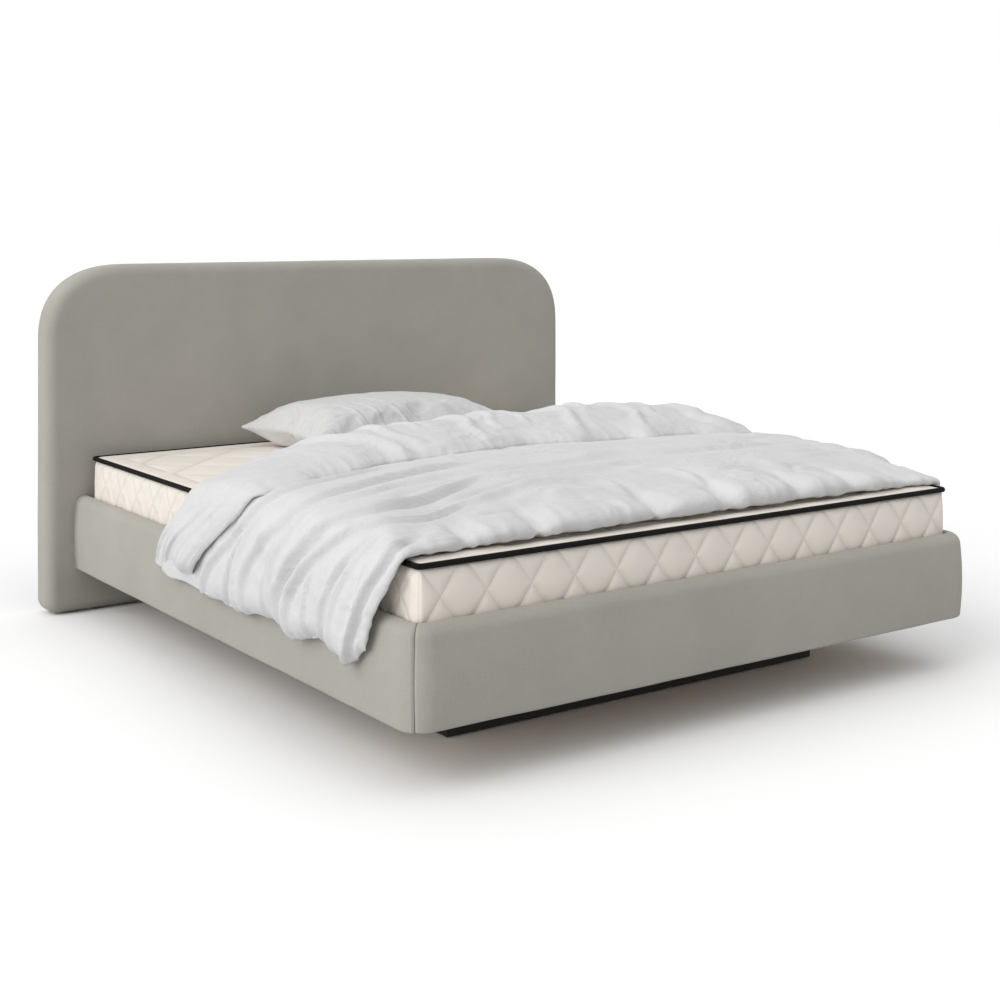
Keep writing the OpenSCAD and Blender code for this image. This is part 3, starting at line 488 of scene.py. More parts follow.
@dataclass(frozen=True)
class Timber(Finish):
    """Planed timber or board, with its fibres along one way."""

    grain: Grain = Grain.ALONG
    light: Colour = shade(222, 190, 143)
    dark: Colour = shade(188, 143, 92)
    ring: float = 0.014
    gloss: float = 0.55

    def paint(self, paint: Paint) -> None:
        """Growth rings drawn out along the fibres, with pores and a few warm streaks.

        Args:
            paint: the nodes.
        """
        numbers = paint.parts(paint.place())
        run, first, second = (numbers[index] for index in self.grain.value)
        drawn = paint.node("ShaderNodeCombineXYZ", {}, {0: run * 1.1, 1: first * 9, 2: second * 9})
        wander = paint.clouds(drawn, 1.0, 3, 0.5)
        across = ((first + 0.07) ** 2 + (second - 0.11) ** 2) ** 0.5
        rings = ((across + wander * 0.035) / self.ring).bounce(1.0)
        fibres = paint.clouds(paint.node("ShaderNodeCombineXYZ", {}, {0: run * 14, 1: first * 900,
                                                                      2: second * 900}), 1.0, 2)
        shown = rings.step(0.15, 0.95) * 0.6 + fibres * 0.25 + wander * 0.15
        colour = paint.blend(shown, self.light, self.dark)
        normal = paint.relief(fibres * 0.7 + rings * 0.3, 0.0003, 0.5)
        paint.finish(colour, fibres.step(0.2, 0.8, self.gloss - 0.08, self.gloss + 0.12), normal,
                     Specular_IOR_Level=0.35)


@dataclass(frozen=True)
class BlackBoard(Finish):
    """Board with a matt black facing."""

    colour: Colour = shade(34, 32, 31)

    def paint(self, paint: Paint) -> None:
        """A fine pearl texture, faint dust and rubbed patches.

        Args:
            paint: the nodes.
        """
        place = paint.place()
        pearl = paint.clouds(place, 900, 2)
        dust = paint.clouds(place, 7, 4, 0.65)
        colour = paint.blend((dust * 0.7 + pearl * 0.3).step(0.35, 0.75), tone(self.colour, 0.75),
                             tone(self.colour, 1.35))
        paint.finish(colour, dust.step(0.25, 0.75, 0.5, 0.68), paint.relief(pearl, 0.0002, 0.5),
                     Specular_IOR_Level=0.35)


@dataclass(frozen=True)
class Steel(Finish):
    """Pressed steel with bright zinc plating."""

    colour: Colour = shade(190, 192, 194)

    def paint(self, paint: Paint) -> None:
        """Zinc spangle with handling marks.

        Args:
            paint: the nodes.
        """
        place = paint.place()
        spangle = paint.node("ShaderNodeTexVoronoi", {"feature": "F1"}, {"Vector": place, "Scale": 160.0})
        marks = paint.clouds(place, 60, 4, 0.6)
        colour = paint.blend((spangle * 0.5 + marks * 0.5).step(0.1, 0.8), tone(self.colour, 0.8),
                             tone(self.colour, 1.05))
        paint.finish(colour, marks.step(0.2, 0.8, 0.28, 0.48), paint.relief(marks, 0.0002, 0.4),
                     Metallic=1.0)


@dataclass(frozen=True)
class Moulded(Finish):
    """Moulded plastic."""

    colour: Colour = shade(24, 24, 25)

    def paint(self, paint: Paint) -> None:
        """A spark-eroded texture with scuffs.

        Args:
            paint: the nodes.
        """
        place = paint.place()
        grain = paint.clouds(place, 1400, 2)
        scuffs = paint.clouds(place, 90, 4, 0.65)
        colour = paint.blend(scuffs.step(0.45, 0.75), self.colour, tone(self.colour, 1.9))
        paint.finish(colour, scuffs.step(0.3, 0.7, 0.42, 0.62), paint.relief(grain, 0.0001, 0.6))


@dataclass(frozen=True)
class Fleece(Finish):
    """Foam, felt or spunbonded cloth: a matt open surface."""

    colour: Colour = shade(232, 226, 205)
    cell: float = 900.0
    depth: float = 0.0006

    def paint(self, paint: Paint) -> None:
        """Tiny open cells under slow shade changes.

        Args:
            paint: the nodes.
        """
        place = paint.place()
        cells = paint.node("ShaderNodeTexVoronoi", {"feature": "F1"}, {"Vector": place, "Scale": self.cell})
        patches = paint.clouds(place, 8, 3)
        colour = paint.blend((cells * 0.5 + patches * 0.5).step(0.2, 0.8), tone(self.colour, 0.84),
                             tone(self.colour, 1.04))
        paint.finish(colour, patches.step(0.2, 0.8, 0.86, 0.97), paint.relief(cells, self.depth, 0.6),
                     Specular_IOR_Level=0.15)


@dataclass(frozen=True)
class BackCloth(Finish):
    """Thin black spunbonded dust cloth with its pressed dot pattern."""

    colour: Colour = shade(46, 45, 45)
    pitch: float = 0.0032

    def paint(self, paint: Paint) -> None:
        """Pressed dots in rows over random fibres.

        Args:
            paint: the nodes.
        """
        across, _, height = paint.parts(paint.place())
        dots = across.stripes(self.pitch) * height.stripes(self.pitch)
        fibres = paint.clouds(paint.place(), 380, 4, 0.7)
        slack = paint.clouds(paint.place(), 4, 2)
        colour = paint.blend((dots * 0.4 + fibres * 0.6).step(0.25, 0.75), tone(self.colour, 0.7),
                             tone(self.colour, 1.3))
        normal = paint.relief(dots * 0.7 + fibres * 0.3, 0.0003, 0.6, paint.relief(slack, 0.004, 0.4))
        paint.finish(colour, fibres.step(0.2, 0.8, 0.7, 0.92), normal, Specular_IOR_Level=0.2)


@dataclass(frozen=True)
class StudioFloor(Finish):
    """The pale studio floor: white to the camera where it is lit, and it keeps the shadow."""

    seen: float = 1.12
    bounce: float = 0.66

    def paint(self, paint: Paint) -> None:
        """Plain white, a little brighter to the camera's own rays.

        Args:
            paint: the nodes.
        """
        path = paint.node("ShaderNodeLightPath")
        direct = path.most(path.out("Is Glossy Ray")).most(path.out("Is Transmission Ray"))
        grey = self.bounce + direct * (self.seen - self.bounce)
        colour = paint.node("ShaderNodeCombineColor", {}, {0: grey, 1: grey, 2: grey})
        surface = paint.node("ShaderNodeBsdfDiffuse", {}, {"Color": colour})
        paint.node("ShaderNodeOutputMaterial", {}, {"Surface": surface})


GREIGE = Upholstery("greige_cover_fabric", "cover_fabric")
LINEN = Linen("white_bed_linen", "bed_linen")
PILLOW_LINEN = Linen("white_pillow_linen", "bed_linen", shade(213, 213, 213))
PIPING = Tape("black_piping_tape", "piping_tape")


# Making pieces


def ease(value: float) -> float:
    """A smooth step from 0 to 1 of a value held between them."""
    held = min(1.0, max(0.0, value))
    return held * held * (3 - 2 * held)


def lookup(value: Union[float, Array], table: Sequence[Point]) -> Any:
    """Reads a table of points, straight between them and level past its ends."""
    keys, results = zip(*table)
    return np.interp(value, keys, results)


def eased(values: Array) -> Array:
    """The same smooth step for an array of values."""
    held = np.clip(values, 0, 1)
    return held * held * (3 - 2 * held)


def noise_at(first: Array, second: Array, seed: float) -> Array:
    """Soft noise around zero at pairs of places."""
    return np.array([noise.noise(Vector((a, b, seed))) for a, b in zip(first, second)])


def run_along(points: Array) -> Array:
    """How far along a line of points each of them lies."""
    return np.concatenate([[0], np.cumsum(np.linalg.norm(np.diff(points, axis=0), axis=1))])


def places_of(data: bpy.types.Mesh) -> Array:
    """Reads where the vertices of a mesh are.

    Args:
        data: the mesh.

    Returns:
        Their places, a row for each.
    """
    places = np.empty(len(data.vertices) * 3)
    data.vertices.foreach_get("co", places)
    return places.reshape(-1, 3)


def move_to(data: bpy.types.Mesh, places: Array) -> None:
    """Puts a mesh's vertices at new places."""
    data.vertices.foreach_set("co", places.ravel())
    data.update()


def smooth_line(points: Sequence[Point], count: int) -> Array:
    """A smooth line through points.

    Args:
        points: the places that it passes.
        count: how many places to return, evenly spaced along it.

    Returns:
        An array of count rows and two columns.
    """
    given = np.array(points, dtype=float)
    ends = np.vstack([2 * given[0] - given[1], given, 2 * given[-1] - given[-2]])
    pieces = []
    for index in range(len(given) - 1):
        before, start, end, after = ends[index:index + 4]
        t = np.linspace(0, 1, 12, endpoint=False)[:, None]
        squared = 2 * before - 5 * start + 4 * end - after
        cubed = 3 * start - before - 3 * end + after
        pieces.append(0.5 * (2 * start + (end - before) * t + squared * t ** 2 + cubed * t ** 3))
    fine = np.vstack(pieces + [given[-1:]])
    run = run_along(fine)
    even = np.linspace(0, run[-1], count)
    return np.column_stack([np.interp(even, run, fine[:, column]) for column in (0, 1)])


def box_map(mesh: Mesh) -> None:
    """Gives every face a map in metres, laid on it from the side that it faces most.

    Args:
        mesh: the mesh, with its normals.
    """
    layer = mesh.loops.layers.uv.verify()
    pairs = ((1, 2), (0, 2), (0, 1))
    for face in mesh.faces:
        facing = max(range(3), key=lambda axis: abs(face.normal[axis]))
        first, second = pairs[facing]
        for corner in face.loops:
            corner[layer].uv = (corner.vert.co[first], corner.vert.co[second])


def ripple(mesh: Mesh, height: float, size: float, seed: float) -> None:
    """Moves a mesh in and out along its normals by soft noise.

    Args:
        mesh: the mesh.
        height: of the ripples, in metres.
        size: of the ripples, in metres.
        seed: which pattern.
    """
    mesh.normal_update()
    offset = Vector((seed, seed * 0.7, seed * 1.3))
    for vert in mesh.verts:
        vert.co += vert.normal * (noise.noise(vert.co / size + offset) * height)


def slice_at(mesh: Mesh, place: Vector, normal: Vector) -> None:
    """Cuts a mesh's faces along a plane and keeps both sides."""
    bmesh.ops.bisect_plane(mesh, geom=mesh.verts[:] + mesh.edges[:] + mesh.faces[:], dist=1e-6,
                           plane_co=place, plane_no=normal)


def slice_box(mesh: Mesh, axis: int, places: Iterable[float]) -> None:
    """Cuts a mesh by planes square to an axis, so that its faces are small enough to bend.

    Args:
        mesh: the mesh.
        axis: 0, 1 or 2.
        places: where the planes cross the axis.
    """
    normal = Vector((0, 0, 0))
    normal[axis] = 1
    for place in places:
        slice_at(mesh, normal * place, normal)


def steps(low: float, high: float, size: float) -> List[float]:
    """Even places between two ends, about a size apart, without the ends."""
    count = max(1, round((high - low) / size))
    return [low + (high - low) * index / count for index in range(1, count)]


def rounded(mesh: Mesh, chosen: Sequence[Any], radius: float, count: int,
            affect: str = "VERTICES") -> None:
    """Rounds corners of an outline, or edges of a solid, by a radius in a count of steps."""
    bmesh.ops.bevel(mesh, geom=chosen, offset=radius, offset_type="OFFSET", affect=affect, segments=count,
                    profile=0.5, material=-1, clamp_overlap=True)


def verts_in(geometry: Iterable[Any]) -> List[bmesh.types.BMVert]:
    """The vertices in what an operator returned."""
    return [item for item in geometry if isinstance(item, bmesh.types.BMVert)]


def deepened(mesh: Mesh, faces: Sequence[bmesh.types.BMFace], move: Point3) -> None:
    """Extrudes flat faces and turns all faces outward.

    Args:
        mesh: the mesh.
        faces: those that are extruded.
        move: how far.
    """
    grown = bmesh.ops.extrude_face_region(mesh, geom=faces)["geom"]
    bmesh.ops.translate(mesh, vec=move, verts=verts_in(grown))
    bmesh.ops.recalc_face_normals(mesh, faces=mesh.faces)


def drawn_out(mesh: Mesh, edges: Sequence[bmesh.types.BMEdge], move: Point3, count: int) -> None:
    """Sweeps edges straight, in a count of equal moves."""
    bmesh.ops.spin(mesh, geom=edges, cent=(0, 0, 0), axis=(0, 0, 1), angle=0.0, steps=count, dvec=move,
                   use_duplicate=False)


def fill_holes(mesh: Mesh) -> None:
    """Closes each hole with a face."""
    bmesh.ops.holes_fill(mesh, edges=[edge for edge in mesh.edges if edge.is_boundary], sides=0)


def joined(mesh: Mesh, distance: float = 1e-5, filled: bool = False) -> None:
    """Merges doubles and turns all faces outward.

    Args:
        mesh: the mesh.
        distance: how close doubles lie.
        filled: whether holes are closed too.
    """
    bmesh.ops.remove_doubles(mesh, verts=mesh.verts, dist=distance)
    if filled:
        fill_holes(mesh)
    bmesh.ops.recalc_face_normals(mesh, faces=mesh.faces)


def new_object(name: str, mesh: Mesh) -> bpy.types.Object:
    """Makes an object of a finished mesh.

    Args:
        name: the object's name.
        mesh: its mesh, in the shared frame, which is freed.

    Returns:
        The object.
    """
    data = bpy.data.meshes.new(name)
    mesh.to_mesh(data)
    mesh.free()
    data.shade_smooth()
    made = bpy.data.objects.new(name, data)
    bpy.context.collection.objects.link(made)
    return made


def dress(made: bpy.types.Object, finish: Finish, body: str, replaces: Sequence[str],
          levels: int = 0) -> bpy.types.Object:
    """Gives an object its finish and its body, and hides the nodes that it stands for.

    Args:
        made: the object.
        finish: what it is made of.
        body: the body that it rides on.
        replaces: the nodes that it stands for.
        levels: subdivisions that finish it.

    Returns:
        The object.
    """
    made.data.materials.clear()
    made.data.materials.append(finish.material())
    if levels:
        smooth = made.modifiers.new("smooth", "SUBSURF")
        smooth.levels = smooth.render_levels = levels
    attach(made, body)
    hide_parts(*replaces)
    log.info("%s: %d faces, stands for %s", made.name, len(made.data.polygons), ", ".join(replaces))
    return made


# Upholstered frame


@dataclass
class Headboard:
    """The padded headboard: one cover drawn over foam, with full rounded upper corners."""

    upper_radius: float = 0.250
    upper_size: Point = (0.300, 0.255)
    fullness: float = 2.5
    lower_radius: float = 0.045
    front_round: float = 0.035
    back_round: float = 0.020
    back_turn: float = 0.0655
    back_corner: float = 0.0015
    bed_depth: float = 0.0019
    cloth_t: float = 0.0012
    mesh_step: float = 0.045
    crown: float = 0.003
    cloth_step: float = 0.06
    cloth_share: float = 0.9992
    low: Vector = field(init=False)
    high: Vector = field(init=False)

    def build(self) -> None:
        """Makes the cover over its foam, with a shallow bed for the back cloth."""
        low, high = self.low, self.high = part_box("headboard_cover")
        mesh = bmesh.new()
        self.outline(mesh)
        for level, radius, count in ((low.y, self.front_round, 10), (high.y, self.back_round, 6)):
            rim = [edge for edge in mesh.edges if all(abs(vert.co.y - level) < 1e-5 for vert in edge.verts)]
            rounded(mesh, rim, radius, count, "EDGES")
        flats = [face for face in mesh.faces if abs(face.normal.y) > 0.999]
        bmesh.ops.inset_individual(mesh, faces=flats, thickness=0.006)
        behind = [face for face in flats if face.normal.y > 0]
        bmesh.ops.inset_individual(mesh, faces=behind, thickness=0.002)
        outline = [vert for face in behind for vert in face.verts]
        for vert in outline:
            vert.co.x, vert.co.z = self.drawn_in(vert.co)
        cloth = [vert.co.copy() for vert in outline]
        bmesh.ops.inset_individual(mesh, faces=behind, thickness=0.0, depth=-self.bed_depth)
        slice_box(mesh, 0, steps(low.x, high.x, self.mesh_step))
        slice_box(mesh, 2, steps(low.z, high.z, self.mesh_step))
        slice_box(mesh, 1, steps(low.y + self.front_round, high.y - self.back_round, 0.02))
        self.pad(mesh)
        box_map(mesh)
        nodes = ["headboard_cover", "headboard_foam"]
        dress(new_object("headboard_padded_cover", mesh), GREIGE, "bed_frame", nodes)
        self.back_cloth(cloth)

    def drawn_in(self, place: Vector) -> Point:
        """Where a place on the rim lies on the outline of the back cloth's bed.

        Args:
            place: the place on the rim.

        Returns:
            The new place across and upright.
        """
        low, high = self.low, self.high
        side = 1 if place.x > 0 else -1
        x, z, inset = abs(place.x), place.z, self.back_turn
        upper, lower = self.upper_radius, self.lower_radius
        for level, radius, turned in ((high.z - upper, upper, upper - inset),
                                      (low.z + lower, lower, self.back_corner)):
            above = (z - level) * (1 if turned > self.back_corner else -1)
            if above > 0 and x > high.x - radius:
                angle = math.atan2(z - level, x - high.x + radius)
                middle = level if turned > self.back_corner else low.z + inset + turned
                across = high.x - inset - turned + turned * math.cos(angle)
                return side * across, middle + turned * math.sin(angle)
        return side * min(x, high.x - inset), min(max(z, low.z + inset), high.z - inset)

    def back_cloth(self, outline: List[Vector]) -> None:
        """Makes the thin dust cloth that is stapled taut over the open back.

        Args:
            outline: the edge of its bed.
        """
        middle = sum(outline, Vector()) / len(outline)
        mesh = bmesh.new()
        verts = [mesh.verts.new(middle + (place - middle) * self.cloth_share) for place in outline]
        face = mesh.faces.new(verts)
        area = face.calc_area()
        deepened(mesh, [face], (0, -self.cloth_t, 0))
        across = sorted(place.x for place in outline)
        upright = sorted(place.z for place in outline)
        slice_box(mesh, 0, steps(across[0], across[-1], self.cloth_step))
        slice_box(mesh, 2, steps(upright[0], upright[-1], self.cloth_step))
        for vert in mesh.verts:
            vert.co.y -= 0.0004 + 0.0003 * noise.noise(Vector((vert.co.x * 4, 2.0, vert.co.z * 4)))
        box_map(mesh)
        cloth = BackCloth("black_back_cloth", "back_cloth")
        made = dress(new_object("headboard_dust_cloth", mesh), cloth, "bed_frame", ["headboard_back_cloth"])

    def outline(self, mesh: Mesh) -> None:
        """Draws the headboard seen from the front and gives it its depth.

        Args:
            mesh: where it is drawn.
        """
        low, high = self.low, self.high
        corners = [(low.x, low.z), (high.x, low.z), (high.x, high.z), (low.x, high.z)]
        verts = [mesh.verts.new((x, low.y, z)) for x, z in corners]
        mesh.faces.new(verts)
        rounded(mesh, verts[:2], self.lower_radius, 8)
        rounded(mesh, verts[2:], self.upper_radius, 30)
        wide, tall = self.upper_size
        for vert in mesh.verts:
            if vert.co.z > high.z - self.upper_radius - 1e-5:
                side = 1 if vert.co.x > 0 else -1
                angle = math.atan2(vert.co.z - (high.z - self.upper_radius),
                                   abs(vert.co.x) - (high.x - self.upper_radius))
                across = max(0.0, math.cos(angle)) ** (2 / self.fullness)
                upright = max(0.0, math.sin(angle)) ** (2 / self.fullness)
                vert.co.x = side * (high.x - wide + wide * across)
                vert.co.z = high.z - tall + tall * upright
        deepened(mesh, mesh.faces[:], (0, high.y - low.y, 0))

    def pad(self, mesh: Mesh) -> None:
        """Crowns the front a little and lets the fabric ripple softly, but not behind.

        Args:
            mesh: the cover.
        """
        low, high = self.low, self.high
        middle = (low + high) / 2
        half = (high - low) / 2
        for vert in mesh.verts:
            if vert.co.y < low.y + 0.001:
                across = 1 - ease(abs(vert.co.x - middle.x) / half.x * 1.25 - 0.25)
                upright = 1 - ease(abs(vert.co.z - middle.z) / half.z * 1.3 - 0.3)
                vert.co.y -= self.crown * across * upright
        fixed = [(vert, vert.co.copy()) for vert in mesh.verts if vert.co.y > high.y - 0.006]
        ripple(mesh, 0.0010, 0.16, 3.1)
        for vert, place in fixed:
            vert.co = place


@dataclass
class Rails:
    """The padded side and foot rails, D-shaped in section, meeting in a seam on each round foot corner."""

    inner_x: float = 0.903
    under_x: float = 0.9065
    flap_z: float = 0.297
    bulge: float = 0.0095
    corner: Point = (0.879, -1.022)
    head_y: float = 0.9847
    seam_depth: float = 0.0035
    seam_reach: float = 0.0075
    # How far the painted shade reaches from the seam line.
    seam_shade_reach: float = 0.0026
    mesh_step: float = 0.045
    radii: Dict[str, float] = field(default_factory=lambda: {"top": 0.040, "bottom": 0.007, "inner": 0.007})
    top_z: float = field(init=False)
    bottom_z: float = field(init=False)
    flank_x: float = field(init=False)

    def build(self) -> None:
        """Makes the three rails, as high and wide as their nodes."""
        low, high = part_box("right_rail_cover")
        self.top_z, self.bottom_z = high.z, low.z
        self.flank_x = high.x - self.bulge
        for side, name in ((1, "right"), (-1, "left")):
            self.side_rail(side, name)
        self.foot_rail()

    def section(self, mesh: Mesh) -> List[bmesh.types.BMEdge]:
        """Draws the rail's section square to its run, at the corner's plane.

        Args:
            mesh: where it is drawn.

        Returns:
            The edges of the section's closed outline.
        """
        places = [(self.inner_x, self.flap_z), (self.inner_x, self.top_z), (self.flank_x, self.top_z),
                  (self.flank_x, self.bottom_z), (self.under_x, self.bottom_z), (self.under_x, self.flap_z)]
        verts = [mesh.verts.new((across, self.corner[1], height)) for across, height in places]
        mesh.faces.new(verts)
        for vert, where, count in ((verts[1], "inner", 3), (verts[2], "top", 8), (verts[3], "bottom", 4)):
            rounded(mesh, [vert], self.radii[where], count)
        mesh.faces.ensure_lookup_table()
        face = mesh.faces[0]
        flank = [edge for edge in face.edges
                 if all(abs(vert.co.x - self.flank_x) < 1e-5 for vert in edge.verts)]
        bmesh.ops.subdivide_edges(mesh, edges=flank, cuts=9, use_grid_fill=False)
        long = [edge for edge in mesh.edges if edge.calc_length() > 0.02]
        bmesh.ops.subdivide_edges(mesh, edges=long, cuts=2, use_grid_fill=False)
        height, near = self.top_z - self.bottom_z, 0.045
        for vert in mesh.verts:
            if vert.co.x > self.flank_x - near:
                share = (vert.co.x - self.flank_x + near) / near
                level = (vert.co.z - self.bottom_z) / height
                vert.co.x += self.bulge * share * math.sin(math.pi * min(1, max(0, level * 0.86 + 0.10)))
        bmesh.ops.delete(mesh, geom=mesh.faces[:], context="FACES_ONLY")
        return mesh.edges[:]

    def swept(self, straight: float) -> Mesh:
        """Sweeps the section round half a corner and straight along the side.

        Args:
            straight: length of the straight part.

        Returns:
            A closed mesh of the rail at the +x side.
        """
        mesh = self.half_corner()
        level = self.corner[1]
        start = [edge for edge in mesh.edges if all(abs(vert.co.y - level) < 1e-6 for vert in edge.verts)]
        count = round(straight / self.mesh_step)
        drawn_out(mesh, start, (0, straight / count, 0), count)
        joined(mesh, filled=True)
        return mesh

    def half_corner(self) -> Mesh:
        """Sweeps the section round half a corner, up to the seam.

        Returns:
            The open mesh, at the +x side.
        """
        mesh = bmesh.new()
        bmesh.ops.spin(mesh, geom=self.section(mesh), cent=(*self.corner, 0), axis=(0, 0, 1),
                       angle=-math.pi / 4, steps=14, use_duplicate=False)
        return mesh

    def draw_in(self, mesh: Mesh, side: int) -> None:
        """Draws the fabric in along the seam on the corner, and marks the strip there that gets painted
        shade.

        Args:
            mesh: the cover.
            side: which corner, 1 on the right and -1 on the left.
        """
        cx, cy = self.corner[0] * side, self.corner[1]
        mesh.normal_update()
        seam = mesh.verts.layers.float.get("seam") or mesh.verts.layers.float.new("seam")
        for vert in mesh.verts:
            away = abs((vert.co.x - cx) * side + (vert.co.y - cy)) / math.sqrt(2)
            out = Vector(((vert.co.x - cx) * side, -(vert.co.y - cy)))
            if away < self.seam_reach * 2 and out.x + out.y > 0.03:
                outward = Vector((side, -1, 0)).normalized()
                vert.co -= outward * self.seam_depth * (1 - ease(away / self.seam_reach))
                # The seam layer carries the painted shade in the sunk groove.
                vert[seam] = 1 - ease(away / self.seam_shade_reach)

    def dress_rail(self, mesh: Mesh, name: str, sides: Sequence[int], seed: float) -> None:
        """Ripples the fabric, sinks the seams and makes the piece.

        Args:
            mesh: the cover.
            name: which rail.
            sides: the sides on which it has a seam.
            seed: which pattern of ripples.
        """
        ripple(mesh, 0.0009, 0.11, seed)
        for side in sides:
            self.draw_in(mesh, side)
        box_map(mesh)
        nodes = [f"{name}_rail_cover", f"{name}_rail_foam"]
        dress(new_object(f"{name}_rail_padded_cover", mesh), GREIGE, "bed_frame", nodes)

    def side_rail(self, side: int, name: str) -> None:
        """Makes a side rail from its seam to the headboard.

        Args:
            side: 1 on the right and -1 on the left.
            name: which rail.
        """
        mesh = self.swept(self.head_y - self.corner[1])
        if side < 0:
            bmesh.ops.scale(mesh, vec=(-1, 1, 1), verts=mesh.verts)
            bmesh.ops.reverse_faces(mesh, faces=mesh.faces)
        self.cut_near_seam(mesh, side)
        self.dress_rail(mesh, name, (side,), 1.0 + side)

    def cut_near_seam(self, mesh: Mesh, side: int) -> None:
        """Adds rows of faces close to the seam, where the fabric turns in.

        Args:
            mesh: the cover.
            side: which corner, 1 on the right and -1 on the left.
        """
        corner = Vector((self.corner[0] * side, self.corner[1], 0))
        square = Vector((side, 1, 0)).normalized()
        for away in (0.0012, 0.0026, 0.005, 0.008, -0.0012, -0.0026, -0.005, -0.008):
            slice_at(mesh, corner + square * away, square)

    def foot_rail(self) -> None:
        """Makes the foot rail with a half corner at each end."""
        mesh = self.half_corner()
        bmesh.ops.rotate(mesh, verts=mesh.verts, cent=(*self.corner, 0),
                         matrix=Matrix.Rotation(-math.pi / 4, 3, "Z"))
        half = self.corner[0]
        end = [edge for edge in mesh.edges if all(abs(vert.co.x - half) < 1e-5 for vert in edge.verts)]
        count = round(half / self.mesh_step)
        drawn_out(mesh, end, (-half / count, 0, 0), count)
        bmesh.ops.mirror(mesh, geom=mesh.verts[:] + mesh.edges[:] + mesh.faces[:], axis="X", merge_dist=-1)
        joined(mesh, filled=True)
        for side in (1, -1):
            self.cut_near_seam(mesh, side)
        self.dress_rail(mesh, "foot", (1, -1), 5.5)


# Mattress


